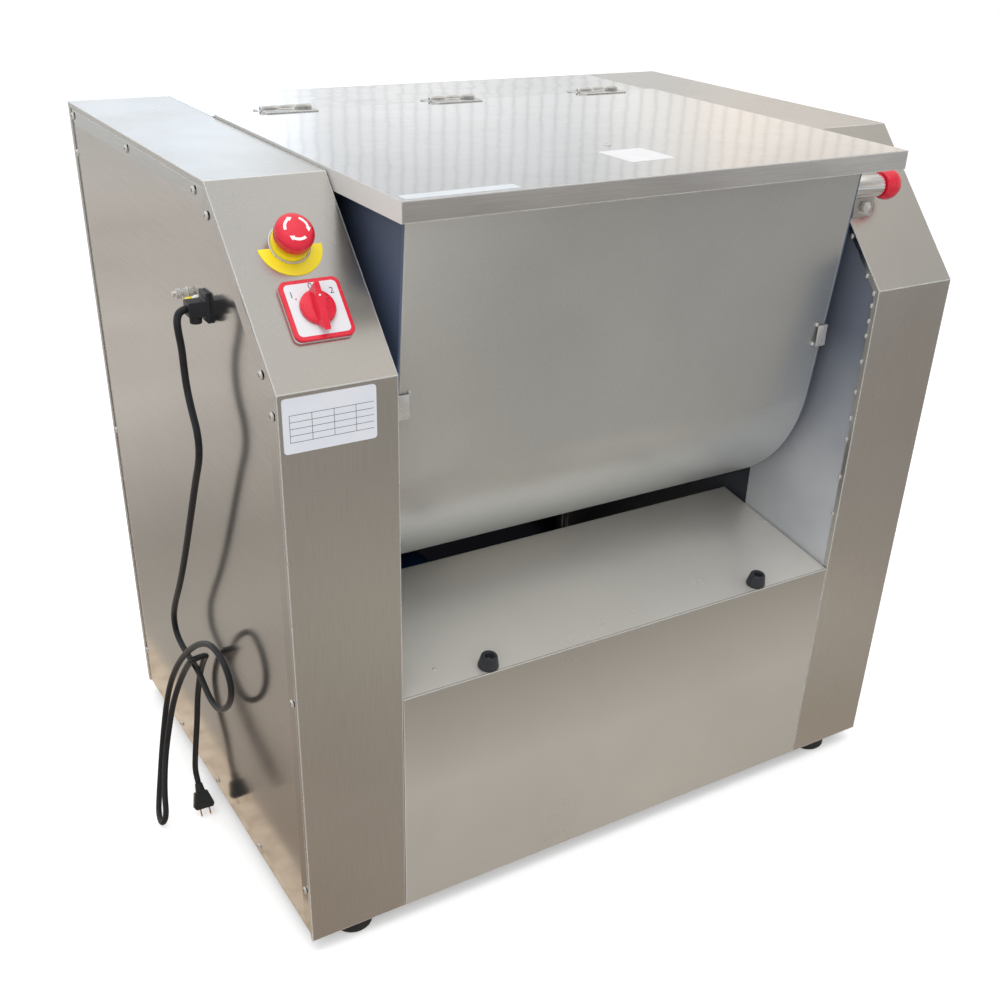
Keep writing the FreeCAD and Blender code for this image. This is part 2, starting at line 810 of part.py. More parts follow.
def latch_keeper():
    """Two short bars welded to the trough's end, one on each side of the latch plunger."""
    swing = slope_angle(latch_z - axis_z, axis_y - latch_y)
    near = dim("plunger_dia") / 2 + 0.6
    bars = []
    for way in (-1, 1):
        corners = []
        for out, along in ((near, -12), (near + 6, -12), (near + 6, 12), (near, 12)):
            y = latch_y + sine(swing) * out * way - cosine(swing) * along
            z = latch_z + cosine(swing) * out * way + sine(swing) * along
            corners.append((y, z))
        bars.append(prism("YZ", corners, 4, (trough_half, 0, 0)))
    return group(bars)


def edge_clips():
    """Folded clips on the two front edges, half way down the trough."""
    lean = dim("wall_lean")
    clips = []
    for side, height in ((-1, 71), (1, 62)):
        reach = (dim("trough_radius") + sine(lean) * height) / cosine(lean)
        wall_y = axis_y - reach
        low_x = mirror_x(side, trough_half - 14, 16)
        outer = block((low_x, wall_y - 4.5, axis_z + height - 14), (16, 18, 28))
        slot_x = mirror_x(side, trough_half - 20, 20)
        inner = block((slot_x, wall_y - 3, axis_z + height - 15), (20, 30, 30))
        clips.append(cut(outer, inner))
    return group(clips)


# Mixing shaft


def arm_angles():
    return [(k, dim("arm_stagger") * (k + 1)) for k in (-1, 0, 1)]


def mixer_shaft():
    """Through shaft with a collar inside each end of the trough."""
    left = gear_x - 8
    right = inner_x + dim("plate_inset") + dim("wall_plate") + 20
    shaft = rod((left, axis_y, axis_z), "X", right - left, dim("shaft_dia") / 2)
    collar_x = trough_half - dim("end_plate") - 6
    collars = [
        rod((mirror_x(side, collar_x - 12, 12), axis_y, axis_z), "X", 12, dim("shaft_dia") / 2 + 8)
        for side in (-1, 1)
    ]
    return fuse([shaft] + collars)


def mixing_arms():
    """Three two-ended arms, each turned on from the last, clamped round the shaft."""
    pieces = []
    tip = dim("mix_radius") - 2
    root = dim("shaft_dia") / 2 + 8
    for k, angle in arm_angles():
        outline = [
            (-root, 0 - size(24)), (-tip, 0 - size(15)), (-tip, 15), (-root, 24),
            (root, 24), (tip, 15), (tip, 0 - size(15)), (root, 0 - size(24)),
        ]
        x = arm_spacing * k
        turn = FreeCAD.Rotation(FreeCAD.Vector(1, 0, 0), angle.value)
        bar = prism("YZ", outline, 20, (x - 10, axis_y, axis_z), turn)
        bar.setExpression(".Placement.Rotation.Angle", angle.text)
        hub = rod((x - 18, axis_y, axis_z), "X", 36, dim("shaft_dia") / 2 + 14)
        bore = rod((x - 20, axis_y, axis_z), "X", 40, dim("shaft_dia") / 2)
        pieces.append(cut(fuse([bar, hub]), bore))
    return group(pieces)


def mixing_bars():
    """Round bars between the tips of neighbouring arms, like a stretched helix."""
    pieces = []
    reach = dim("mix_radius").value - dim("bar_dia").value / 2 - 4
    gap = 10
    for first, second in (arm_angles()[:2], arm_angles()[1:]):
        for half_turn in (0, 180):
            ends = []
            for (k, angle), sign in ((first, 1), (second, -1)):
                a = math.radians(angle.value + half_turn)
                x = arm_spacing.value * k + sign * gap
                y = axis_y.value + reach * math.cos(a)
                z = axis_z.value + reach * math.sin(a)
                ends.append(FreeCAD.Vector(x, y, z))
            path = ends[1] - ends[0]
            start = ends[0] - path * (6 / path.Length)
            bar = Part.makeCylinder(dim("bar_dia").value / 2, path.Length + 12, start, path)
            slab = Part.makeBox(
                arm_spacing.value - 2 * gap, 600, 600,
                FreeCAD.Vector(ends[0].x, axis_y.value - 300, axis_z.value - 300),
            )
            pieces.append(solid(bar.common(slab)))
    return group(pieces)


# Drive


def pinion_centre():
    spacing = dim("gear_module") * (dim("gear_teeth") + dim("pinion_teeth")) / 2
    y = axis_y + spacing * cosine(dim("pinion_angle"))
    z = axis_z + spacing * sine(dim("pinion_angle"))
    return y, z


def involute_gear(teeth, module, face, backlash, phase, shift):
    """Spur gear about Z: involute flanks at 20 degrees, with a profile shift in modules."""
    pitch = module * teeth / 2
    base = pitch * math.cos(math.radians(20))
    tip = pitch + module * (1 + shift)
    root = pitch - module * (1.25 - shift)
    steps = 3
    flank = []
    for step in range(steps + 1):
        start = max(base, root)
        radius = start + (tip - start) * step / steps
        alpha = math.acos(min(1, base / radius))
        flank.append((radius, math.tan(alpha) - alpha))
    at_pitch = math.tan(math.radians(20)) - math.radians(20)
    wider = 2 * shift * module * math.tan(math.radians(20))
    half_tooth = math.pi / (2 * teeth) + (wider - backlash) / (2 * pitch)
    points = []
    for tooth in range(teeth):
        middle = 2 * math.pi * tooth / teeth + phase
        left = [(r, middle - half_tooth - at_pitch + inv) for r, inv in flank]
        right = [(r, middle + half_tooth + at_pitch - inv) for r, inv in reversed(flank)]
        if root < base:
            left.insert(0, (root, left[0][1]))
            right.append((root, right[-1][1]))
        points += left + right
    corners = [FreeCAD.Vector(r * math.cos(a), r * math.sin(a), 0) for r, a in points]
    wire = Part.makePolygon(corners + corners[:1])
    return Part.Face(wire).extrude(FreeCAD.Vector(0, 0, face))


def turned_to_x(shape, x, y, z):
    """Stand a gear that was drawn about Z up on an axis along X."""
    turn = FreeCAD.Rotation(FreeCAD.Vector(0, 1, 0), 90)
    shape.Placement = FreeCAD.Placement(FreeCAD.Vector(x, y, z), turn)
    return shape


def main_gear():
    """Large gear keyed to the mixing shaft, lightened by a recess and six holes."""
    face = dim("gear_face").value
    teeth = int(dim("gear_teeth").value)
    module = dim("gear_module").value
    shift = -dim("profile_shift").value
    blank = involute_gear(teeth, module, face, 0.35, math.pi / teeth, shift)
    pitch = module * teeth / 2
    bore = Part.makeCylinder(dim("shaft_dia").value / 2, face + 2, FreeCAD.Vector(0, 0, -1))
    blank = blank.cut(bore)
    for low in (-1, face - 7):
        ring = Part.makeCylinder(pitch - 26, 8, FreeCAD.Vector(0, 0, low))
        ring = ring.cut(Part.makeCylinder(48, 8, FreeCAD.Vector(0, 0, low)))
        blank = blank.cut(ring)
    for k in range(6):
        a = math.radians(60 * k)
        centre = FreeCAD.Vector(108 * math.cos(a), 108 * math.sin(a), -1)
        blank = blank.cut(Part.makeCylinder(30, face + 2, centre))
    turned_to_x(blank, gear_x.value, axis_y.value, axis_z.value)
    return solid(blank)


def drive_pinion():
    """Pinion cut on a sleeve that is keyed to the intermediate shaft."""
    teeth = int(dim("pinion_teeth").value)
    ratio = dim("gear_teeth").value / teeth
    face = dim("gear_face").value
    # direction of the pinion from the main gear, in the gear's own drawing plane
    line = math.radians(dim("pinion_angle").value)
    gear_angle = math.pi / 2 + line
    mesh = math.pi / dim("gear_teeth").value
    offset = (gear_angle - mesh) * ratio
    phase = gear_angle + math.pi + offset + math.pi / teeth
    shift = dim("profile_shift").value
    blank = involute_gear(teeth, dim("gear_module").value, face, 0.35, phase, shift)
    radius = dim("pinion_shaft_dia").value / 2
    bore = Part.makeCylinder(radius, face + 2, FreeCAD.Vector(0, 0, -1))
    y, z = pinion_centre()
    return solid(turned_to_x(blank.cut(bore), gear_x.value, y.value, z.value))


def pinion_shaft():
    y, z = pinion_centre()
    left = pulley_x - 6
    right = -(inner_x + dim("plate_inset")) - 2
    return rod((left, y, z), "X", right - left, dim("pinion_shaft_dia") / 2)


def pinion_bearing():
    """Flanged bearing on the wall plate for the intermediate shaft."""
    y, z = pinion_centre()
    plate_x = -(inner_x + dim("plate_inset") + dim("wall_plate"))
    flange = rod((plate_x - 7, y, z), "X", 7, 44)
    neck = rod((plate_x, y, z), "X", dim("wall_plate"), 30)
    bore = rod((plate_x - 8, y, z), "X", 30, dim("pinion_shaft_dia") / 2 + running_gap)
    return cut(fuse([flange, neck]), bore)


def trough_bearing(side):
    """Flanged housing on the wall plate that the trough's journal turns in."""
    plate_x = inner_x + dim("plate_inset") + dim("wall_plate")
    flange_x = mirror_x(side, plate_x, 10)
    flange = rod((flange_x, axis_y, axis_z), "X", 10, 75)
    neck_x = mirror_x(side, plate_x - dim("wall_plate"), dim("wall_plate"))
    neck = rod((neck_x, axis_y, axis_z), "X", dim("wall_plate"), dim("trunnion_dia") / 2 + 14)
    bore_x = mirror_x(side, plate_x - 40, 60)
    bore = rod((bore_x, axis_y, axis_z), "X", 60, dim("trunnion_dia") / 2 + running_gap)
    return cut(fuse([flange, neck]), bore)


def pulley(diameter, bore, y, z):
    """Turned pulley with two belt grooves."""
    radius = diameter / 2
    face = dim("pulley_face")
    outline = [
        (bore, 0), (radius, 0), (radius, 1.5), (radius - 9, 4), (radius - 9, 7.5),
        (radius, 10), (radius, face - 10), (radius - 9, face - 7.5), (radius - 9, face - 4),
        (radius, face - 1.5), (radius, face), (bore, face),
    ]
    return lathe(outline, (pulley_x, y, z), "X")


def large_pulley():
    y, z = pinion_centre()
    wheel = pulley(dim("large_pulley_dia"), dim("pinion_shaft_dia") / 2, y, z)
    holes = []
    for k in range(5):
        a = math.radians(72 * k + 20)
        place_y = y + 85 * math.cos(a)
        place_z = z + 85 * math.sin(a)
        through = dim("pulley_face") + 4
        holes.append(rod((pulley_x - 2, place_y, place_z), "X", through, 26))
    return cut(wheel, holes)


def motor_pulley():
    bore = dim("motor_shaft_dia") / 2
    return pulley(dim("small_pulley_dia"), bore, dim("motor_y"), dim("motor_z"))


def drive_belt():
    """Two V-belts round both pulleys, as closed loops that clear the grooves."""
    y1, z1 = (value.value for value in pinion_centre())
    y2, z2 = dim("motor_y").value, dim("motor_z").value
    sunk = 2.5
    thick = 5
    width = 6.5
    r1 = dim("large_pulley_dia").value / 2 - sunk
    r2 = dim("small_pulley_dia").value / 2 - sunk
    loops = []
    for groove in (5.75, dim("pulley_face").value - 5.75):
        outer = belt_loop(y1, z1, r1 + thick, y2, z2, r2 + thick)
        inner = belt_loop(y1, z1, r1, y2, z2, r2)
        ring = Part.Face(outer).cut(Part.Face(inner))
        belt = ring.extrude(FreeCAD.Vector(width, 0, 0))
        belt.translate(FreeCAD.Vector(pulley_x.value + groove - width / 2, 0, 0))
        loops.append(solid(belt))
    return group(loops)


def belt_loop(y1, z1, r1, y2, z2, r2):
    """Open belt line round two circles in a plane across X."""
    span = math.hypot(y2 - y1, z2 - z1)
    heading = math.atan2(z2 - z1, y2 - y1)
    lean = math.acos((r1 - r2) / span)

    def on_circle(y, z, r, angle):
        return FreeCAD.Vector(0, y + r * math.cos(angle), z + r * math.sin(angle))

    a1 = on_circle(y1, z1, r1, heading + lean)
    a2 = on_circle(y2, z2, r2, heading + lean)
    b1 = on_circle(y1, z1, r1, heading - lean)
    b2 = on_circle(y2, z2, r2, heading - lean)
    far1 = on_circle(y1, z1, r1, heading + math.pi)
    far2 = on_circle(y2, z2, r2, heading)
    edges = [
        Part.Arc(b1, far1, a1).toShape(),
        Part.LineSegment(a1, a2).toShape(),
        Part.Arc(a2, far2, b2).toShape(),
        Part.LineSegment(b2, b1).toShape(),
    ]
    return Part.Wire(edges)


# Motor


def motor_front_x():
    return -(inner_x - 20)


def motor_feet_x():
    """Low X of the motor's two feet, which stand on the motor rails."""
    start = motor_front_x()
    return start + 20, start + dim("motor_length") - 20 - dim("motor_foot")


def motor_seat():
    """Top of the rails that the motor's feet stand on."""
    return dim("motor_z") - 100


def motor_body():
    """Cast body with cooling fins, an end shield, two feet and a boss for the terminal box."""
    start = motor_front_x()
    y, z = dim("motor_y"), dim("motor_z")
    radius = dim("motor_radius")
    length = dim("motor_length")
    pieces = [rod((start, y, z), "X", length, radius)]
    pieces.append(taper((start - 8, y, z), "X", 8, radius - 26, radius - 6))
    for k in range(24):
        if k % 6 == 0:
            continue
        turn = FreeCAD.Rotation(FreeCAD.Vector(1, 0, 0), 15 * k)
        outline = [(0, -2), (length - 24, -2), (length - 24, 2), (0, 2)]
        pieces.append(prism("XY", outline, radius + 7, (start + 12, y, z), turn))
    pieces.append(block((start + 64, y + radius - 20, z - 34), (78, 28, 68)))
    height = dim("motor_z") - motor_seat()
    for x in motor_feet_x():
        pieces.append(block((x, y - 80, z - height), (dim("motor_foot"), 160, 14)))
        for offset in (-70, 48):
            web = (dim("motor_foot") - 16, 22, 52)
            pieces.append(block((x + 8, y + offset, z - height + 10), web))
    bore = rod((start - 20, y, z), "X", 60, dim("motor_shaft_dia") / 2 + running_gap)
    return cut(fuse(pieces), bore)


def fan_cover():
    """Pressed cowl over the fan at the motor's tail, with a ring of air slots."""
    start = motor_front_x() + dim("motor_length") - 10
    y, z = dim("motor_y"), dim("motor_z")
    radius = dim("motor_radius")
    depth = dim("fan_depth")
    outline = [
        (radius + 2.3, 0), (radius + 2.3, depth - 12), (radius - 10, depth), (0, depth),
        (0, depth - 2), (radius - 11, depth - 2), (radius + 0.3, depth - 13),
        (radius + 0.3, 0),
    ]
    cowl = lathe(outline, (start, y, z), "X")
    slots = []
    for k in range(10):
        a = math.radians(36 * k)
        place_y = y + 52 * math.cos(a)
        place_z = z + 52 * math.sin(a)
        slots.append(rod((start + depth - 7, place_y, place_z), "X", 12, 9))
    return cut(cowl, slots)


def terminal_box():
    """Box on the motor's boss, with an overlapping cover."""
    start = motor_front_x() + 60
    seat = dim("motor_y") + dim("motor_radius") + 8
    z = dim("motor_z")
    box = block((start, seat, z - 38), (86, 44, 76))
    cover = block((start - 3, seat + 44, z - 41), (92, 6, 82))
    return fuse([box, cover])


def motor_shaft():
    y, z = dim("motor_y"), dim("motor_z")
    left = pulley_x - 4
    length = motor_front_x() + 30 - left
    return rod((left, y, z), "X", length, dim("motor_shaft_dia") / 2)


# Lid and hinges


def lid():
    """Flat sheet with flanges folded down at the front and both sides."""
    half = lid_half
    depth = dim("hinge_y") - dim("lid_back") - dim("lid_front")
    low = lid_top - dim("lid_flange")
    outer = block((-half, dim("lid_front"), low), (half * 2, depth, dim("lid_flange")))
    hollow = block(
        (-half + sheet_t, dim("lid_front") + sheet_t, low - 1),
        (half * 2 - sheet_t * 2, depth, dim("lid_flange") - sheet_t + 1),
    )
    return cut(outer, hollow)


def knuckle(x, length):
    radius = dim("knuckle_radius")
    return rod((x, dim("hinge_y"), hinge_z), "X", length, radius)


def hinge_leaves(on_lid):
    """Butt hinge leaves: outer knuckles on the fixed leaf, the middle one on the lid."""
    pieces = []
    third = dim("hinge_width") / 3
    slack = 0.4
    y, z = dim("hinge_y"), hinge_z
    for k in (-1, 0, 1):
        low_x = hinge_pitch * k - dim("hinge_width") / 2
        bore_radius = dim("pin_dia") / 2 + running_gap
        bore = rod((low_x - 1, y, z), "X", dim("hinge_width") + 2, bore_radius)
        if on_lid:
            leaf_low = lid_top
            plate = block(
                (low_x, y - dim("leaf_depth"), leaf_low),
                (dim("hinge_width"), dim("leaf_depth") - 6, dim("leaf")),
            )
            neck_size = (third - slack * 2, 8, dim("leaf"))
            neck = block((low_x + third + slack, y - 8, leaf_low), neck_size)
            rounds = [knuckle(low_x + third + slack, third - slack * 2)]
        else:
            leaf_low = top
            plate = block(
                (low_x, y + 6, leaf_low), (dim("hinge_width"), dim("leaf_depth") - 6, dim("leaf"))
            )
            necks = [
                block((low_x + third * 2 * i, y, leaf_low), (third, 8, dim("leaf"))) for i in (0, 1)
            ]
            neck = fuse(necks)
            rounds = [knuckle(low_x + third * 2 * i, third) for i in (0, 1)]
        pieces.append(cut(fuse([plate, neck] + rounds), bore))
    return group(pieces)


def hinge_pins():
    pieces = []
    for k in (-1, 0, 1):
        low_x = hinge_pitch * k - dim("hinge_width") / 2 + 1
        start = (low_x, dim("hinge_y"), hinge_z)
        pieces.append(rod(start, "X", dim("hinge_width") - 2, dim("pin_dia") / 2))
    return group(pieces)


# Trough latch


def sleeve_ends():
    """The latch sleeve runs from beside the keeper to the knob."""
    return trough_half + 6, trough_half + 65


def latch_bracket():
    """Angle foot on the slope, upright plate and the plunger's sleeve, welded together."""
    y, z = latch_y, latch_z
    low_y, low_z = on_slope((chamfer_back - y) / cosine(chamfer_angle), 0)
    up_y, up_z = cosine(chamfer_angle), sine(chamfer_angle)
    foot = 26
    thick = 4
    away_y, away_z = -sine(chamfer_angle), cosine(chamfer_angle)
    outline = [
        (low_y, low_z),
        (low_y + up_y * foot, low_z + up_z * foot),
        (low_y + up_y * foot + away_y * thick, low_z + up_z * foot + away_z * thick),
        (low_y + 3, low_z + 3 * tangent(chamfer_angle) + 5),
        (low_y + 3, z),
        (low_y, z),
    ]
    first, last = sleeve_ends()
    plate = prism("YZ", outline, last - 1 - (inner_x + 5), (inner_x + 5, 0, 0))
    sleeve = rod((first, y, z), "X", last - first, dim("sleeve_dia") / 2)
    bore = rod((first - 1, y, z), "X", last - first + 2, dim("plunger_dia") / 2 + running_gap)
    bolt_x, bolt_z = latch_bolt_place()
    bolt_hole = rod((bolt_x, y - 10, bolt_z), "Y", 20, 4.2)
    return cut(fuse([plate, sleeve]), [bore, bolt_hole])


def latch_bolt_place():
    """X and Z of the bolt in the upright plate."""
    return inner_x + 23, latch_z - 25


def hexagon(radius):
    """Corners of a hexagon about the origin."""
    turns = [math.radians(60 * k) for k in range(6)]
    return [(radius * math.cos(turn), radius * math.sin(turn)) for turn in turns]


def latch_bolt():
    """Hexagon bolt through the upright plate."""
    x, z = latch_bolt_place()
    head = prism("XZ", hexagon(7.2), 5, (x, latch_y, z))
    shank = rod((x, latch_y, z), "Y", 6, 4)
    return fuse([head, shank])


def latch_plunger():
    first, last = sleeve_ends()
    nose = first - 1.2
    body_length = last + 6 - nose
    radius = dim("plunger_dia") / 2
    pin = rod((nose + 3, latch_y, latch_z), "X", body_length - 3, radius)
    tip = taper((nose, latch_y, latch_z), "X", 3, radius - 1.5, radius)
    return fuse([pin, tip])


def latch_knob():
    """Ball knob, flat where it comes up to the sleeve, with a socket for the plunger."""
    start = sleeve_ends()[1] + 3.2
    radius = dim("knob_radius")
    middle = 12
    socket = dim("plunger_dia") / 2
    turns = [math.radians(90 - 15 * k) for k in range(1, 7)]
    belly = [(radius * math.cos(a), middle + radius * math.sin(a)) for a in turns]
    behind = [
        (radius * math.cos(math.radians(a)), middle - radius * math.sin(math.radians(a)))
        for a in (18, 36)
    ]
    outline = [(0, 2.8), (0, middle + radius)] + belly + behind + [
        (radius * 0.77, 0), (socket, 0), (socket, 2.8),
    ]
    return lathe(outline, (start, latch_y, latch_z), "X")


# Controls


def estop_collar():
    """Fixed ring of the emergency button, with its neck through the slope."""
    outline = [(8.2, -12), (10.8, -12), (10.8, 0.8), (20, 0.8), (19.5, 8), (8.2, 8)]
    collar = lathe(outline, (0, 0, 0), slope_rotation())
    return slope_place(collar, estop_x, dim("estop_s"), 0)


def estop_legend():
    """Crescent plate that shows below the button."""
    disc = rod((0, 0, 0), "Z", 0.8, 34)
    hole = rod((0, 0, -1), "Z", 3, 11)
    trim = block((-50, -2, -1), (100, 60, 3))
    plate = cut(disc, [hole, trim])
    return slope_place(plate, estop_x, dim("estop_s"), 0)


def estop_stem():
    stem = rod((0, 0, 0), "Z", 17, 8)
    return slope_place(stem, estop_x, dim("estop_s"), 0)


def estop_button():
    """Mushroom head with a rounded top and a socket for the stem."""
    outline = [
        (0, 17), (8.2, 17), (8.2, 14), (18, 14), (20, 17), (20, 25), (18.5, 28),
        (14, 30.4), (7, 31.6), (0, 32),
    ]
    head = lathe(outline, (0, 0, 0), slope_rotation())
    return slope_place(head, estop_x, dim("estop_s"), 0)


def switch_plate():
    """Square dial plate with rounded corners."""
    half = dim("switch_size") / 2
    bevel = 6
    outline = [
        (-half + bevel, -half), (half - bevel, -half), (half, -half + bevel),
        (half, half - bevel), (half - bevel, half), (-half + bevel, half),
        (-half, half - bevel), (-half, -half + bevel),
    ]
    plate = prism("XY", outline, 6)
    hole = rod((0, 0, -1), "Z", 10, 8)
    return slope_place(cut(plate, hole), switch_x, dim("switch_s"), 0)


def switch_body():
    """Contact block behind the slope."""
    neck = rod((0, 0, -2), "Z", 2, 13.5)
    box = block((-24, -24, -50), (48, 48, 48))
    hole = rod((0, 0, -12), "Z", 14, 5)
    return slope_place(cut(fuse([box, neck]), hole), switch_x, dim("switch_s"), 0)


def switch_knob():
    """Round boss with a pointer grip across it and a spindle behind."""
    boss = taper((0, 0, 6.3), "Z", 5, 20, 18)
    outline = [(-6, -17), (6, -17), (7, 0), (3.5, 23), (-3.5, 23), (-7, 0)]
    grip = prism("XY", outline, 17, (0, 0, 6.3))
    spindle = rod((0, 0, -10), "Z", 17, 4)
    knob = fuse([boss, grip, spindle])
    return slope_place(knob, switch_x, dim("switch_s"), 0)


def nameplate():
    low_x = -(inner_x + 125)
    return block((low_x, front - 0.8, chamfer_low - 61.5), (100, 0.8, 57))


# Mains lead


def cable_gland():
    """Moulded strain relief: flange on the panel, square body and a round clamp screw below."""
    y, z = gland_y, gland_z
    face = -half_width
    flange = block((face - 4, y - 12, z - 15), (4, 22, 32))
    body = block((face - 22, y - 9, z - 8), (22, 18, 16))
    clamp = rod((face - 13, y, z - 16), "Z", 8, 6.5)
    thread = rod((face, y, z), "X", 14, 7.8)
    return fuse([flange, body, clamp, thread])


def earth_screw():
    """Earthing stud with a washer and two nuts, behind the gland."""
    y, z = gland_y + 62, gland_z - 2
    stud = rod((-half_width - 17, y, z), "X", 17, 3)
    washer = rod((-half_width - 1.2, y, z), "X", 1.2, 7)
    inner_nut = prism("YZ", hexagon(5.6), 4, (-half_width - 5.2, y, z))
    tag_ring = rod((-half_width - 9, y, z), "X", 1, 6)
    outer_nut = prism("YZ", hexagon(5.6), 4, (-half_width - 13, y, z))
    return fuse([stud, washer, inner_nut, tag_ring, outer_nut])


def cord():
    """Straight runs joined by tangent arcs; each arc takes 0.45 of its shorter run."""
    route = [FreeCAD.Vector(*point) for point in CORD_ROUTE]
    edges = []
    start = route[0]
    radii = []
    for before, corner, after in zip(route, route[1:], route[2:]):
        into = corner - before
        out = after - corner
        turn = into.getAngle(out)
        shorter = min(into.Length, out.Length)
        trim = 0.45 * shorter
        radius = trim / math.tan(turn / 2)
        radii.append(radius)
        first = corner - into * (trim / into.Length)
        last = corner + out * (trim / out.Length)
        half_way = (first + last) * 0.5
        inward = half_way - corner
        centre = corner + inward * ((radius / math.cos(turn / 2)) / inward.Length)
        to_corner = corner - centre
        middle = centre + to_corner * (radius / to_corner.Length)
        edges.append(Part.LineSegment(start, first).toShape())
        edges.append(Part.Arc(first, middle, last).toShape())
        start = last
    edges.append(Part.LineSegment(start, route[-1]).toShape())
    path = Part.Wire(edges)
    section = dim("cord_dia").value / 2
    circle = Part.Circle(route[0], route[1] - route[0], section)
    tube = path.makePipeShell([Part.Wire([circle.toShape()])], True, False)
    expected = math.pi * section ** 2 * path.Length
    print("lead: length", round(path.Length, 1), "volume ratio", round(tube.Volume / expected, 4))
    print("lead: radii", [round(radius) for radius in radii])
    return solid(tube)


def plug():
    """Moulded two-pin plug that hangs at the end of the lead."""
    end = FreeCAD.Vector(*CORD_ROUTE[-1])
    away = end - FreeCAD.Vector(*CORD_ROUTE[-2])
    turn = FreeCAD.Rotation(FreeCAD.Vector(0, 0, 1), away)
    relief = Part.makeCone(5, 7, 13)
    outline = [(-9, 12), (9, 12), (14.5, 32), (12, 37), (-12, 37), (-14.5, 32)]
    corners = [FreeCAD.Vector(x, -7.5, z) for x, z in outline]
    grip = Part.Face(Part.makePolygon(corners + corners[:1])).extrude(FreeCAD.Vector(0, 15, 0))
    grip = grip.makeFillet(2.5, [e for e in grip.Edges if e.BoundBox.YLength < 1])
    body = relief.fuse(grip)
    for x in (-6.35, 6.35):
        body = body.fuse(Part.makeBox(1.6, 6, 11, FreeCAD.Vector(x - 0.8, -3, 36.5)))
    body.Placement = FreeCAD.Placement(end, turn)
    return solid(body)


def bumper(side):
    """Tapered rubber rest, screwed to the shelf."""
    x = (inner_x - dim("bumper_side")) * side
    rise = tangent(shelf_angle)
    z = shelf_front + rise * (bumper_y - front)
    outline = [(4, 0), (13, 0), (13, 3), (10, dim("bumper_height")), (5.5, dim("bumper_height")),
               (5.5, 6), (4, 6)]
    turn = FreeCAD.Rotation(FreeCAD.Vector(1, 0, 0), shelf_angle.value)
    rest = lathe(outline, (x, bumper_y, z), turn)
    rest.setExpression(".Placement.Rotation.Angle", shelf_angle.text)
    return rest


def bumper_screws():
    pieces = []
    rise = tangent(shelf_angle)
    z = shelf_front + rise * (bumper_y - front)
    turn = FreeCAD.Rotation(FreeCAD.Vector(1, 0, 0), shelf_angle.value)
    for side in (-1, 1):
        outline = [(0, 0), (3.6, 0), (3.6, 6), (5.2, 6), (5.2, 9), (0, 9)]
        x = (inner_x - dim("bumper_side")) * side
        screw = lathe(outline, (x, bumper_y, z), turn)
        screw.setExpression(".Placement.Rotation.Angle", shelf_angle.text)
        pieces.append(screw)
    return group(pieces)


def build():
    base_frame()
    node("feet", feet())
    for side, name in ((-1, "left"), (1, "right")):
        node(f"wall_plate_{name}", wall_plate(side))
        node(f"shell_{name}", cabinet_shell(side))
        node(f"side_panel_{name}", side_panel(side))
        node(f"inner_cover_{name}", inner_cover(side))
        node(f"bearing_{name}", trough_bearing(side))
        node(f"trough_end_{name}", trough_end(side))
    node("bumpers", group([bumper(side) for side in (-1, 1)]))
    node("bumper_screws", bumper_screws())
    node("panel_screws", panel_screws())
    node("back_panel", back_panel())
    node("rear_top_cover", rear_top_cover())
    node("front_cover", front_cover())
    node("trough_shell", trough_shell())
    node("edge_clips", edge_clips())
    node("latch_keeper", latch_keeper())
    node("mixer_shaft", mixer_shaft())
    node("mixing_arms", mixing_arms())
    node("mixing_bars", mixing_bars())
    node("main_gear", main_gear())
    node("drive_pinion", drive_pinion())
    node("pinion_shaft", pinion_shaft())
    node("pinion_bearing", pinion_bearing())
    node("large_pulley", large_pulley())
    node("motor_pulley", motor_pulley())
    node("drive_belt", drive_belt())
    node("motor_body", motor_body())
    node("fan_cover", fan_cover())
    node("terminal_box", terminal_box())
    node("motor_shaft", motor_shaft())
    node("lid", lid())
    node("hinge_leaves_fixed", hinge_leaves(False))
    node("hinge_leaves_lid", hinge_leaves(True))
    node("hinge_pins", hinge_pins())
    node("latch_bracket", latch_bracket())
    node("latch_bolt", latch_bolt())
    node("latch_plunger", latch_plunger())
    node("latch_knob", latch_knob())
    node("estop_collar", estop_collar())
    node("estop_legend", estop_legend())
    node("estop_stem", estop_stem())
    node("estop_button", estop_button())
    node("switch_plate", switch_plate())
    node("switch_body", switch_body())
    node("switch_knob", switch_knob())
    node("nameplate", nameplate())
    node("cable_gland", cable_gland())
    node("earth_screw", earth_screw())
    node("cord", cord())
    node("plug", plug())


def check_and_write():
    """Stop on any failed feature, then write one file per node."""
    doc.recompute()
    for obj in doc.Objects:
        if "Invalid" in obj.State or "Error" in obj.State:
            raise RuntimeError(f"{obj.Name} ({obj.Label}) failed: {obj.State}")
    for obj in nodes:
        if obj.Shape.isNull() or not obj.Shape.isValid() or not obj.Shape.Solids:
            raise RuntimeError(f"{obj.Label} has no valid shape")
    os.makedirs("parts", exist_ok=True)
    for obj in nodes:
        obj.Shape.exportStep(f"parts/{obj.Label}.step")


build()
check_and_write()
print(len(nodes), "nodes written")
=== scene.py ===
"""Looks of a horizontal dough mixer: a tilting trough between two stainless cabinets."""
import math

import bmesh
import bpy
from mathutils import Matrix, Vector


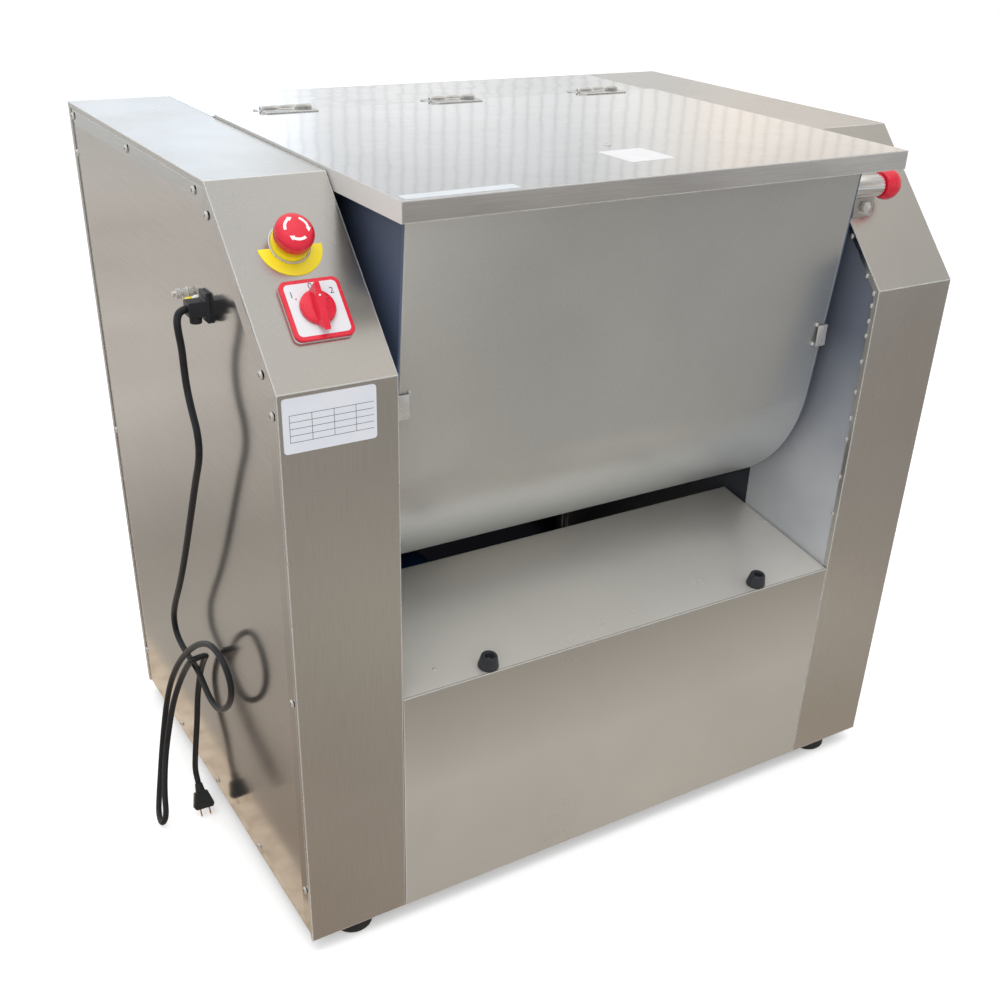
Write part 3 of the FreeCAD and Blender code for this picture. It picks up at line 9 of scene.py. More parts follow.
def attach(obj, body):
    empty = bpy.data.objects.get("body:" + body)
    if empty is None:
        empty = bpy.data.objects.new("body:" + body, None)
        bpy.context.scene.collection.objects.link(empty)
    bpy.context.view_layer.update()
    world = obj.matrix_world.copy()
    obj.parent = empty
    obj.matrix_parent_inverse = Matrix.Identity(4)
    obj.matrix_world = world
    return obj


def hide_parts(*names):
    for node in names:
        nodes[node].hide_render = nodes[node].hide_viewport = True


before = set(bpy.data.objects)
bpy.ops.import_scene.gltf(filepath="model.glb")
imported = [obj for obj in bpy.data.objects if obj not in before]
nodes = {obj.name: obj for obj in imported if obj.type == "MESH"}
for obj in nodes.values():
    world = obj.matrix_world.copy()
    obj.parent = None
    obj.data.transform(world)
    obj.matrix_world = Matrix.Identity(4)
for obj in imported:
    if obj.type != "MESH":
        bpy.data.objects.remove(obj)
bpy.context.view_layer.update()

# Camera.
# A phone held at chest height, off the machine's front left corner.  The shift keeps the
# picture's crop.
camera_data = bpy.data.cameras.new("camera")
camera_data.lens = 44.2
camera_data.shift_x = -0.0091
camera_data.shift_y = 0.1060
camera = bpy.data.objects.new("camera", camera_data)
bpy.context.scene.collection.objects.link(camera)
camera.location = (-0.8616, -1.3776, 1.1734)
turn = Vector((2.0544, -0.5563, 0.3608))
into_lens = Matrix.Rotation(turn.length, 3, turn.normalized())
right, down, ahead = into_lens[0], into_lens[1], into_lens[2]
camera.rotation_mode = "QUATERNION"
camera.rotation_quaternion = Matrix((right, -down, -ahead)).transposed().to_quaternion()
bpy.context.scene.camera = camera
bpy.context.scene.view_settings.view_transform = "Standard"


# Studio.
# A pale floor that takes the machine's shadow, a white surround, two soft lamps, and large
# cards out of view that only the steel shows.  The floor's glow is left off under the
# machine's footprint: a painted shade under the machine.
def new_material(name):
    """An empty node material and its tree."""
    material = bpy.data.materials.new(name)
    material.use_nodes = True
    tree = material.node_tree
    tree.nodes.clear()
    return material, tree


def add(tree, kind, values=None, links=None, **settings):
    """One shader node with its settings, socket values and incoming links."""
    node = tree.nodes.new(kind)
    for key, value in settings.items():
        setattr(node, key, value)
    for key, value in (values or {}).items():
        node.inputs[key].default_value = value
    for key, source in (links or {}).items():
        tree.links.new(source, node.inputs[key])
    return node


def fade(tree, source, start, end, low=0.0, high=1.0):
    """A number that runs from low to high while the source goes from start to end."""
    node = add(tree, "ShaderNodeMapRange", {1: start, 2: end, 3: low, 4: high}, {0: source})
    return node.outputs[0]


def coordinates(tree):
    """X, Y and Z in the shared frame."""
    spot = add(tree, "ShaderNodeTexCoord").outputs["Object"]
    return add(tree, "ShaderNodeSeparateXYZ", links={0: spot}).outputs


def finish(tree, values=None, links=None):
    """The material's one surface, joined to its output."""
    surface = add(tree, "ShaderNodeBsdfPrincipled", values, links)
    add(tree, "ShaderNodeOutputMaterial", links={"Surface": surface.outputs[0]})


def ramp(tree, source, *stops):
    """A colour ramp through (position, grey or colour) stops."""
    node = add(tree, "ShaderNodeValToRGB", links={"Fac": source})
    elements = node.color_ramp.elements
    while len(elements) < len(stops):
        elements.new(0.5)
    for element, (position, colour) in zip(elements, stops):
        element.position = position
        rgb = (colour,) * 3 if isinstance(colour, float) else colour
        element.color = (*rgb, 1)
    return node.outputs["Color"]


def link_mesh(name, bm, material=None):
    """A finished bmesh as an object of its own, at the origin."""
    mesh = bpy.data.meshes.new(name)
    bm.to_mesh(mesh)
    bm.free()
    piece = bpy.data.objects.new(name, mesh)
    bpy.context.scene.collection.objects.link(piece)
    if material:
        mesh.materials.append(material)
    return piece


def seen_rays(tree):
    """1 for the rays that show the background: camera, mirror and clear ones."""
    path = add(tree, "ShaderNodeLightPath").outputs
    first = add(tree, "ShaderNodeMath", operation="MAXIMUM")
    tree.links.new(path["Is Camera Ray"], first.inputs[0])
    tree.links.new(path["Is Glossy Ray"], first.inputs[1])
    both = add(tree, "ShaderNodeMath", operation="MAXIMUM")
    tree.links.new(first.outputs[0], both.inputs[0])
    tree.links.new(path["Is Transmission Ray"], both.inputs[1])
    return both.outputs[0]


world = bpy.data.worlds.new("studio")
bpy.context.scene.world = world
world.use_nodes = True
sky = world.node_tree
sky.nodes.clear()
plain = add(sky, "ShaderNodeBackground", {"Color": (1, 1, 1, 1), "Strength": 0.70})
white = add(sky, "ShaderNodeBackground", {"Color": (1, 1, 1, 1), "Strength": 1.0})
either = add(sky, "ShaderNodeMixShader", links={0: seen_rays(sky), 1: plain.outputs[0],
                                                2: white.outputs[0]})
add(sky, "ShaderNodeOutputWorld", links={"Surface": either.outputs[0]})

floor_paint, tree = new_material("pale_floor")
spot = add(tree, "ShaderNodeTexCoord").outputs["Object"]
away = add(tree, "ShaderNodeVectorMath", links={0: spot}, operation="ABSOLUTE")
reach = add(tree, "ShaderNodeSeparateXYZ", links={0: away.outputs[0]}).outputs
# The glow fades out inside the machine's footprint, softly at its edges: a painted shade under the
# machine.
beside = fade(tree, reach["X"], 0.36, 0.50, high=0.52)
before = fade(tree, reach["Y"], 0.22, 0.37, high=0.52)
open_floor = add(tree, "ShaderNodeMath", links={0: beside, 1: before},
                 operation="MAXIMUM")
shown = add(tree, "ShaderNodeMath", links={0: open_floor.outputs[0], 1: seen_rays(tree)},
            operation="MULTIPLY")
matt = add(tree, "ShaderNodeBsdfDiffuse", {"Color": (0.86, 0.86, 0.86, 1)})
glow = add(tree, "ShaderNodeEmission", {"Color": (1, 1, 1, 1)}, {"Strength": shown.outputs[0]})
lit = add(tree, "ShaderNodeAddShader", links={0: matt.outputs[0], 1: glow.outputs[0]})
add(tree, "ShaderNodeOutputMaterial", links={"Surface": lit.outputs[0]})
bm = bmesh.new()
bmesh.ops.create_circle(bm, cap_ends=True, radius=14, segments=64)
floor = link_mesh("floor", bm, floor_paint)
floor.visible_glossy = False


def card(name, bm, colour_of, strength=1.0):
    """A glowing studio card that only mirror rays meet."""
    paint, tree = new_material(name)
    coords = add(tree, "ShaderNodeTexCoord").outputs["Object"]
    glow = add(tree, "ShaderNodeEmission", {"Strength": strength},
               {"Color": colour_of(tree, coords)})
    add(tree, "ShaderNodeOutputMaterial", links={"Surface": glow.outputs[0]})
    piece = link_mesh(name, bm, paint)
    for ray in ("camera", "diffuse", "shadow", "transmission", "volume_scatter"):
        setattr(piece, f"visible_{ray}", False)


def blend_colour(tree, factor, first, second):
    """A colour between two, by a mask."""
    node = add(tree, "ShaderNodeMix", data_type="RGBA")
    tree.links.new(factor, node.inputs[0])
    for socket, colour in ((6, first), (7, second)):
        if isinstance(colour, tuple):
            node.inputs[socket].default_value = (*colour, 1)
        else:
            tree.links.new(colour, node.inputs[socket])
    return node.outputs[2]


def multiply(tree, first, second):
    """Two colours multiplied."""
    node = add(tree, "ShaderNodeMix", {0: 1.0}, data_type="RGBA", blend_type="MULTIPLY")
    tree.links.new(first, node.inputs[6])
    tree.links.new(second, node.inputs[7])
    return node.outputs[2]


def tent_colour(tree, coords):
    """Daylight low down at the back left, a dim roof with ribs, and a pale patch overhead."""
    way = add(tree, "ShaderNodeVectorMath", links={0: coords}, operation="NORMALIZE")
    parts = add(tree, "ShaderNodeSeparateXYZ", links={0: way.outputs[0]}).outputs
    height = ramp(tree, parts["Z"], (0.0, (0.82, 0.86, 0.91)), (0.10, (0.75, 0.77, 0.79)),
                  (0.14, (0.77, 0.79, 0.81)), (0.17, (0.86, 0.875, 0.89)),
                  (0.205, (1.02, 1.025, 1.03)), (0.27, (0.80, 0.81, 0.82)),
                  (0.45, (0.58, 0.58, 0.57)), (0.64, (0.62, 0.60, 0.56)),
                  (0.845, (1.08, 1.0, 0.91)), (0.90, (0.84, 0.835, 0.83)))
    sides = ramp(tree, parts["X"], (0.0, 0.95), (0.27, (1.25, 1.36, 1.48)),
                 (0.32, (1.26, 1.33, 1.41)), (0.375, (0.86, 0.87, 0.88)), (0.46, 0.82),
                 (0.55, 0.78), (0.60, (0.84, 0.83, 0.81)), (0.66, (0.86, 0.79, 0.72)),
                 (0.80, (0.82, 0.76, 0.70)))
    low = fade(tree, parts["Z"], 0.28, 0.55)
    across = blend_colour(tree, low, sides, (1.0, 1.0, 1.0))
    depth = fade(tree, parts["Y"], -0.9, 0.5, 0.50, 1.0)
    turned = add(tree, "ShaderNodeMath", links={0: parts["X"], 1: parts["Y"]},
                 operation="ARCTAN2")
    sweep = add(tree, "ShaderNodeCombineXYZ", links={"X": turned.outputs[0], "Y": parts["Z"]})
    ribs = add(tree, "ShaderNodeTexWave", {"Scale": 26.0, "Distortion": 0.9, "Detail": 2.0,
                                           "Detail Scale": 1.5},
               {"Vector": sweep.outputs[0]}, bands_direction="X")
    band = ramp(tree, ribs.outputs["Fac"], (0.0, 0.80), (0.16, 0.98), (1.0, 1.0))
    clouds = add(tree, "ShaderNodeTexNoise", {"Scale": 7.0, "Detail": 3.0},
                 {"Vector": way.outputs[0]})
    haze = fade(tree, clouds.outputs["Fac"], 0.35, 0.65, 0.90, 1.05)
    return multiply(tree, multiply(tree, height, across),
                    multiply(tree, multiply(tree, depth, haze), band))


def ground_colour(tree, coords):
    """Brown ground by the machine's left foot, a pale stretch in front, greyer further off."""
    parts = add(tree, "ShaderNodeSeparateXYZ", links={0: coords}).outputs
    side = fade(tree, parts["X"], -1.0, 2.0)
    tone = ramp(tree, side, (0.16, (0.33, 0.27, 0.22)), (0.25, (0.37, 0.32, 0.27)),
                (0.37, (0.44, 0.39, 0.33)), (0.47, (0.38, 0.33, 0.27)),
                (0.72, (0.37, 0.33, 0.29)), (0.92, (0.30, 0.25, 0.22)))
    front = fade(tree, parts["Y"], -0.65, -1.25, high=0.75)
    nearer = blend_colour(tree, front, tone, (0.32, 0.30, 0.275))
    back = fade(tree, parts["Y"], -0.1, 0.5)
    further = fade(tree, parts["Y"], 0.8, 1.6)
    yard = blend_colour(tree, further, (0.40, 0.37, 0.33), (0.58, 0.54, 0.50))
    middle = add(tree, "ShaderNodeVectorMath", {1: (0.55, -0.80, 0.0)}, {0: coords},
                 operation="DISTANCE")
    inside = fade(tree, middle.outputs["Value"], 0.12, 0.40, 0.9, 0.0)
    left = add(tree, "ShaderNodeVectorMath", {1: (-0.10, -1.05, 0.0)}, {0: coords},
               operation="DISTANCE")
    pale = fade(tree, left.outputs["Value"], 0.15, 0.40, 0.8, 0.0)
    nearer = blend_colour(tree, inside, nearer, (0.50, 0.46, 0.40))
    nearer = blend_colour(tree, pale, nearer, (0.46, 0.42, 0.355))
    flank = blend_colour(tree, back, nearer, yard)
    strip = fade(tree, parts["X"], -0.515, -0.508)
    planks = add(tree, "ShaderNodeTexNoise", {"Scale": 30.0, "Detail": 3.0}, {"Vector": coords})
    wood = ramp(tree, planks.outputs["Fac"], (0.3, (0.52, 0.41, 0.31)),
                (0.6, (0.70, 0.58, 0.45)))
    boarded = blend_colour(tree, strip, flank, wood)
    beside = fade(tree, parts["X"], -0.46, -0.455)
    chosen = blend_colour(tree, beside, boarded, flank)
    reach = add(tree, "ShaderNodeVectorMath", links={0: coords}, operation="LENGTH")
    far = fade(tree, reach.outputs["Value"], 3.5, 9.0)
    blur = add(tree, "ShaderNodeTexNoise", {"Scale": 1.6, "Detail": 2.0}, {"Vector": coords})
    patch = fade(tree, blur.outputs["Fac"], 0.3, 0.7, 0.88, 1.10)
    mixed = blend_colour(tree, far, chosen, (0.62, 0.64, 0.64))
    return multiply(tree, mixed, patch)


bm = bmesh.new()
bmesh.ops.create_uvsphere(bm, u_segments=48, v_segments=24, radius=13)
card("tent", bm, tent_colour, 1.2)
bm = bmesh.new()
bmesh.ops.create_circle(bm, cap_ends=True, radius=12.5, segments=48)
bmesh.ops.translate(bm, verts=bm.verts, vec=(0, 0, -0.002))
card("ground_card", bm, ground_colour)


def lamp(name, place, aim, size, power, tint=(1, 1, 1)):
    """A soft square lamp that doesn't show in the steel as a hard patch."""
    data = bpy.data.lights.new(name, "AREA")
    data.shape = "SQUARE"
    data.size = size
    data.energy = power
    data.color = tint
    piece = bpy.data.objects.new(name, data)
    bpy.context.scene.collection.objects.link(piece)
    piece.location = place
    piece.rotation_euler = (Vector(aim) - Vector(place)).to_track_quat("-Z", "Y").to_euler()
    piece.visible_glossy = False


lamp("overhead_lamp", (-0.4, -0.6, 3.4), (0, 0, 0.4), 2.6, 46)
lamp("front_lamp", (-2.4, -2.8, 2.0), (0, 0, 0.5), 2.0, 26, (1.0, 0.98, 0.95))


# Base.
# Square steel tubes welded into a frame under both cabinets, two thick rails for the motor
# and a thick plate inside each cabinet, all in dark shop paint.
def soften(name, width=0.0004, segments=2):
    """Welds a CAD node's triangles and rounds its edges slightly."""
    piece = nodes[name]
    piece.data.polygons.foreach_set("use_smooth", [True] * len(piece.data.polygons))
    weld = piece.modifiers.new("weld", "WELD")
    weld.merge_threshold = 0.00002
    flat = piece.modifiers.new("flat_faces", "DECIMATE")
    flat.decimate_type = "DISSOLVE"
    flat.angle_limit = math.radians(0.4)
    bevel = piece.modifiers.new("edges", "BEVEL")
    bevel.width = width
    bevel.segments = segments
    bevel.limit_method = "ANGLE"
    bevel.angle_limit = math.radians(32)
    bevel.use_clamp_overlap = False
    bevel.harden_normals = True


def dress(material, *names, width=0.0004, segments=2, flat=False):
    """Gives CAD nodes their finish and, unless they are flat sheet, their eased edges."""
    for name in names:
        piece = nodes[name]
        if flat:
            piece.data.polygons.foreach_set("use_smooth", [False] * len(piece.data.polygons))
        else:
            soften(name, width, segments)
        piece.data.materials.clear()
        piece.data.materials.append(material)


def new_group(name, inputs, outputs):
    """An empty shader group with named sockets."""
    tree = bpy.data.node_groups.new(name, "ShaderNodeTree")
    for label, kind, value in inputs:
        socket = tree.interface.new_socket(label, in_out="INPUT", socket_type=kind)
        socket.default_value = value
    for label, kind in outputs:
        tree.interface.new_socket(label, in_out="OUTPUT", socket_type=kind)
    return tree, tree.nodes.new("NodeGroupInput"), tree.nodes.new("NodeGroupOutput")


# mottle: soft uneven cloudiness, from 0 to 1, at a size in metres
mottle, given, out = new_group(
    "mottle",
    [("Size", "NodeSocketFloat", 0.1), ("Contrast", "NodeSocketFloat", 1.0)],
    [("Mask", "NodeSocketFloat")],
)
coords = add(mottle, "ShaderNodeTexCoord").outputs["Object"]
per_metre = add(mottle, "ShaderNodeMath", {0: 1.0}, {1: given.outputs["Size"]}, operation="DIVIDE")
clouds = add(mottle, "ShaderNodeTexNoise", {"Detail": 4.0, "Roughness": 0.55},
             {"Vector": coords, "Scale": per_metre.outputs[0]})
centred = add(mottle, "ShaderNodeMath", {1: 0.5}, {0: clouds.outputs["Fac"]}, operation="SUBTRACT")
spread = add(mottle, "ShaderNodeMath", {2: 0.5},
             {0: centred.outputs[0], 1: given.outputs["Contrast"]}, operation="MULTIPLY_ADD")
spread.use_clamp = True
mottle.links.new(spread.outputs[0], out.inputs["Mask"])


def use_group(tree, group, values=None, links=None):
    """The outputs of a shader group with its socket values and incoming links."""
    node = tree.nodes.new("ShaderNodeGroup")
    node.node_tree = group
    for key, value in (values or {}).items():
        node.inputs[key].default_value = value
    for key, source in (links or {}).items():
        tree.links.new(source, node.inputs[key])
    return node.outputs


def blend_value(tree, factor, low, high):
    """A number between low and high, by a mask."""
    return fade(tree, factor, 0.0, 1.0, low, high)


def plain_finish(name, colour, other, roughness, size=0.03, bump=0.15, metallic=0.0, coat=0.0):
    """Paint, rubber, plastic or cast metal: two close tones, uneven gloss and a fine skin."""
    material, tree = new_material(name)
    tone = use_group(tree, mottle, {"Size": size, "Contrast": 1.8})["Mask"]
    skin = use_group(tree, mottle, {"Size": 0.0012, "Contrast": 1.0})["Mask"]
    relief = add(tree, "ShaderNodeBump", {"Strength": bump, "Distance": 0.0003}, {"Height": skin})
    finish(tree, {"Metallic": metallic, "Coat Weight": coat, "Coat Roughness": 0.12}, {
        "Base Color": blend_colour(tree, tone, colour, other),
        "Roughness": blend_value(tree, tone, roughness, min(1.0, roughness + 0.12)),
        "Normal": relief.outputs[0]})
    return material


dark_paint = plain_finish("dark_paint", (0.030, 0.036, 0.050), (0.055, 0.060, 0.072), 0.45)
dress(dark_paint, "front_rail", "rear_rail", "side_rails", "motor_rails",
      "wall_plate_left", "wall_plate_right")

# Feet.
# Four turned black rubber feet under the corners of the base.
rubber = plain_finish("black_rubber", (0.012, 0.012, 0.013), (0.030, 0.030, 0.031), 0.55, bump=0.3)
dress(rubber, "feet", width=0.001)

# Drive.
# Blue enamelled motor on its rails, with a pressed fan cover and a terminal box; V-belts to
# a large cast pulley, and a pinion that turns the main gear on the mixing shaft.
enamel = plain_finish("motor_enamel", (0.020, 0.075, 0.230), (0.035, 0.100, 0.270), 0.32, coat=0.3)
dress(enamel, "motor_body", "fan_cover", "terminal_box", width=0.0008)
cast = plain_finish("cast_iron", (0.090, 0.090, 0.088), (0.150, 0.148, 0.142), 0.50,
                    size=0.012, bump=0.4, metallic=0.8)
dress(cast, "main_gear", "large_pulley", "motor_pulley", "bearing_left", "bearing_right",
      "pinion_bearing", width=0.0003)
belt_rubber = plain_finish("belt_rubber", (0.018, 0.018, 0.018), (0.035, 0.034, 0.032), 0.6)
dress(belt_rubber, "drive_belt", width=0.0003)
ground_steel = plain_finish("ground_steel", (0.52, 0.52, 0.50), (0.62, 0.62, 0.60), 0.24,
                            size=0.02, bump=0.01, metallic=1.0)
dress(ground_steel, "mixer_shaft", "motor_shaft", "pinion_shaft", "drive_pinion", "hinge_pins",
      "latch_plunger", width=0.0003)

# Stainless sheet.
# All covers are rolled stainless: a fine grain along one way, cloudy wipe marks, colour that
# drifts a little over a panel, and a few short scratches on the lid.
grain, given, out = new_group(
    "rolled_grain",
    [("Stretch", "NodeSocketVector", (40.0, 40.0, 1400.0))],
    [("Height", "NodeSocketFloat")],
)
coords = add(grain, "ShaderNodeTexCoord").outputs["Object"]
drawn = add(grain, "ShaderNodeVectorMath", links={0: coords, 1: given.outputs["Stretch"]},
            operation="MULTIPLY")
lines = add(grain, "ShaderNodeTexNoise", {"Scale": 1.0, "Detail": 3.0, "Roughness": 0.6},
            {"Vector": drawn.outputs[0]})
grain.links.new(lines.outputs["Fac"], out.inputs["Height"])

# scratches: sparse thin straight marks, 1 on a mark
scratches, given, out = new_group(
    "scratches",
    [("Turn", "NodeSocketVector", (0.3, 0.5, 0.4)), ("Amount", "NodeSocketFloat", 0.5)],
    [("Mask", "NodeSocketFloat")],
)
coords = add(scratches, "ShaderNodeTexCoord").outputs["Object"]
tilted = add(scratches, "ShaderNodeVectorRotate", links={"Vector": coords,
             "Rotation": given.outputs["Turn"]}, rotation_type="EULER_XYZ")
drawn = add(scratches, "ShaderNodeVectorMath", {1: (9.0, 420.0, 420.0)}, {0: tilted.outputs[0]},
            operation="MULTIPLY")
cells = add(scratches, "ShaderNodeTexNoise", {"Scale": 1.0, "Detail": 1.0},
            {"Vector": drawn.outputs[0]})
thin = fade(scratches, cells.outputs["Fac"], 0.765, 0.80)
where = add(scratches, "ShaderNodeTexNoise", {"Scale": 9.0, "Detail": 1.0}, {"Vector": coords})
some = fade(scratches, where.outputs["Fac"], 0.52, 0.66)
both = add(scratches, "ShaderNodeMath", links={0: thin, 1: some},
           operation="MULTIPLY")
kept = add(scratches, "ShaderNodeMath", links={0: both.outputs[0], 1: given.outputs["Amount"]},
           operation="MULTIPLY")
scratches.links.new(kept.outputs[0], out.inputs["Mask"])


def fold_mask(tree, radius):
    """The rounded normal at folds and cut edges, and a mask that is 1 on them, where the painted
    highlight goes.
    """
    rounded = add(tree, "ShaderNodeBevel", {"Radius": radius}, samples=4).outputs[0]
    own = add(tree, "ShaderNodeNewGeometry").outputs["True Normal"]
    along = add(tree, "ShaderNodeVectorMath", links={0: rounded, 1: own}, operation="DOT_PRODUCT")
    mask = fade(tree, along.outputs["Value"], 0.99, 0.93)
    return rounded, mask


def stainless(name, tone, other, roughness, stretch, cloud=0.16, haze=0.14, marks=0.0,
              relief=0.10, metallic=1.0, sag=0.0, sag_size=0.2, fold=0.0022):
    """Rolled stainless sheet with its own tone, gloss, grain way, sag, and rounded folds with a
    painted highlight along them.
    """
    material, tree = new_material(name)
    lines = use_group(tree, grain, {"Stretch": stretch})["Height"]
    wipes = use_group(tree, mottle, {"Size": cloud, "Contrast": 1.5})["Mask"]
    scuff = use_group(tree, scratches, {"Amount": marks})["Mask"]
    sheet = blend_colour(tree, wipes, tone, other)
    fine = fade(tree, lines, 0.25, 0.75, 0.94, 1.05)
    colour = blend_colour(tree, scuff, multiply(tree, sheet, fine), (0.9, 0.9, 0.9))
    gloss = blend_value(tree, wipes, roughness, roughness + haze)
    rougher = add(tree, "ShaderNodeMath", {1: 0.2}, {0: scuff, 2: gloss}, operation="MULTIPLY_ADD")
    skin = add(tree, "ShaderNodeBump", {"Strength": relief, "Distance": 0.0002}, {"Height": lines})
    rounded, painted_fold_highlight = fold_mask(tree, fold)
    if sag:
        broad = use_group(tree, mottle, {"Size": sag_size, "Contrast": 1.0})["Mask"]
        rounded = add(tree, "ShaderNodeBump", {"Strength": 1.0, "Distance": sag},
                      {"Height": broad, "Normal": rounded}).outputs[0]
    tree.links.new(rounded, skin.inputs["Normal"])
    # Folds and cut edges turn near white and less metallic: a painted highlight.
    finish(tree, links={
        "Base Color": blend_colour(tree, painted_fold_highlight, colour, (0.93, 0.93, 0.92)),
        "Metallic": blend_value(tree, painted_fold_highlight, metallic, 0.25),
        "Roughness": rougher.outputs[0], "Normal": skin.outputs[0]})
    return material


# Cabinets.
# Each cabinet is one bent sheet for front, slope, top and back, with a screwed side panel
# whose middle is pressed out a little, and a slotted sheet closes the back between them.
upright = stainless("upright_sheet", (0.67, 0.66, 0.635), (0.72, 0.71, 0.69), 0.20,
                    (900.0, 900.0, 22.0), sag=0.0002)
side_sheet = stainless("side_sheet", (0.66, 0.645, 0.62), (0.73, 0.715, 0.69), 0.10,
                       (700.0, 22.0, 900.0), cloud=0.3, haze=0.07, relief=0.06, sag=0.0003,
                       sag_size=0.35)
dress(upright, "shell_left", "shell_right", flat=True)
dress(side_sheet, "side_panel_left", "side_panel_right", flat=True)

back_sheet, tree = new_material("back_sheet")
lines = use_group(tree, grain, {"Stretch": (22.0, 22.0, 900.0)})["Height"]
wipes = use_group(tree, mottle, {"Size": 0.2, "Contrast": 1.5})["Mask"]
depth = coordinates(tree)["Y"]
# The inner face, behind y = 0.333, is painted near black: painted shade inside the machine.
outside = fade(tree, depth, 0.3328, 0.3332)
sheet = blend_colour(tree, wipes, (0.64, 0.62, 0.59), (0.73, 0.71, 0.68))
colour = blend_colour(tree, outside, (0.012, 0.013, 0.020), sheet)
skin = add(tree, "ShaderNodeBump", {"Strength": 0.1, "Distance": 0.0002}, {"Height": lines})
finish(tree, {"Metallic": 1.0},
       {"Base Color": colour, "Roughness": blend_value(tree, wipes, 0.2, 0.34),
        "Normal": skin.outputs[0]})
dress(back_sheet, "back_panel", flat=True)

# Screws.
# Pan-head screws hold the side panels and the back; each cross recess is two black bars set flush
# in the head, a painted shade.
bright_steel = plain_finish("bright_steel", (0.72, 0.71, 0.69), (0.82, 0.81, 0.79), 0.20,
                            size=0.02, bump=0.004, metallic=0.7)
# Black for the cross recess bars: painted shade in the recess.
recess_shade_black = plain_finish("recess", (0.02, 0.02, 0.02), (0.04, 0.04, 0.04), 0.6)


def spun(profile, steps=32):
    """A turned form about Z from (radius, height) points, in metres."""
    bm = bmesh.new()
    corners = [bm.verts.new((radius, 0, height)) for radius, height in profile]
    for first, second in zip(corners, corners[1:]):
        bm.edges.new((first, second))
    bmesh.ops.spin(bm, geom=bm.verts[:] + bm.edges[:], cent=(0, 0, 0), axis=(0, 0, 1),
                   angle=math.tau, steps=steps, use_merge=True)
    bmesh.ops.remove_doubles(bm, verts=bm.verts, dist=0.00001)
    bmesh.ops.recalc_face_normals(bm, faces=bm.faces)
    for face in bm.faces:
        face.smooth = True
    return bm


def standing(place, way):
    """The placing that stands +Z along a direction, at a point."""
    return Matrix.Translation(place) @ Vector(way).to_track_quat("Z", "Y").to_matrix().to_4x4()


def join_into(bm, other, placing=None, material=0):
    """Adds another bmesh, placed, with one material index."""
    if placing:
        bmesh.ops.transform(other, matrix=placing, verts=other.verts)
    for face in other.faces:
        face.material_index = material
    mesh = bpy.data.meshes.new("part")
    other.to_mesh(mesh)
    other.free()
    bm.from_mesh(mesh)
    bpy.data.meshes.remove(mesh)


def box_form(size, centre=(0, 0, 0), edge=0.0):
    """A block with its edges eased."""
    bm = bmesh.new()
    bmesh.ops.create_cube(bm, size=1)
    bmesh.ops.scale(bm, vec=size, verts=bm.verts)
    if edge:
        bmesh.ops.bevel(bm, geom=bm.edges[:], offset=edge, segments=2, affect="EDGES",
                        profile=0.5, material=-1)
    bmesh.ops.translate(bm, vec=centre, verts=bm.verts)
    return bm


def pieces_of(name):
    """Lowest and highest corner of each separate solid in a CAD node, in a fixed order."""
    bm = bmesh.new()
    bm.from_mesh(nodes[name].data)
    bmesh.ops.remove_doubles(bm, verts=bm.verts, dist=0.00002)
    left = set(bm.verts)
    boxes = []
    while left:
        stack = [left.pop()]
        group = []
        while stack:
            vert = stack.pop()
            group.append(vert.co.copy())
            for edge in vert.link_edges:
                other = edge.other_vert(vert)
                if other in left:
                    left.remove(other)
                    stack.append(other)
        low = Vector(min(p[i] for p in group) for i in range(3))
        high = Vector(max(p[i] for p in group) for i in range(3))
        boxes.append((low, high))
    bm.free()
    return sorted(boxes, key=lambda box: [round(value, 4) for value in (*box[0], *box[1])])


heads = bmesh.new()
dome = [(0.0047, 0.0), (0.0047, 0.0005), (0.0044, 0.0013), (0.0036, 0.0019), (0.0022, 0.00225),
        (0.0, 0.00235)]
for number, (low, high) in enumerate(pieces_of("panel_screws")):
    centre = (low + high) / 2
    spans = high - low
    axis = min(range(3), key=lambda i: spans[i])
    way = Vector((0, 0, 0))
    way[axis] = 1.0 if centre[axis] > 0 else -1.0
    seat = centre.copy()
    seat[axis] = low[axis] if way[axis] > 0 else high[axis]
    placing = standing(seat, way) @ Matrix.Rotation(number * 0.9, 4, "Z")
    join_into(heads, spun(dome, 20), placing)
    for quarter in (0, math.pi / 2):
        slot = box_form((0.0046, 0.0008, 0.0006), (0, 0, 0.00205))
        join_into(heads, slot, placing @ Matrix.Rotation(quarter, 4, "Z"), material=1)
heads = link_mesh("cross_screws", heads, bright_steel)
heads.data.materials.append(recess_shade_black)
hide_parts("panel_screws")
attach(heads, "frame")

# Back panel's seals.
# Two black foam strips behind the panel's upright edges close the slit to the cabinets.
foam = plain_finish("foam", (0.012, 0.012, 0.013), (0.024, 0.024, 0.025), 0.8, bump=0.4)
seals = bmesh.new()
for side in (-1, 1):
    strip = bmesh.new()
    bmesh.ops.create_cube(strip, size=1)
    bmesh.ops.scale(strip, vec=(0.0090, 0.0016, 0.72), verts=strip.verts)
    bmesh.ops.translate(strip, vec=(side * 0.3307, 0.3316, 0.455), verts=strip.verts)
    join_into(seals, strip)
seals = link_mesh("panel_seals", seals, foam)
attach(seals, "frame")

# Inner covers.
# Blasted sheets beside the trough, pale and matt, with painted shade that runs to dark navy
# towards the top.  Small weld tacks hold the one on the right to the cabinet's lip.
blasted, tree = new_material("blasted_sheet")
cloudy = use_group(tree, mottle, {"Size": 0.09, "Contrast": 1.5})["Mask"]
pits = use_group(tree, mottle, {"Size": 0.004, "Contrast": 1.5})["Mask"]
height = coordinates(tree)["Z"]
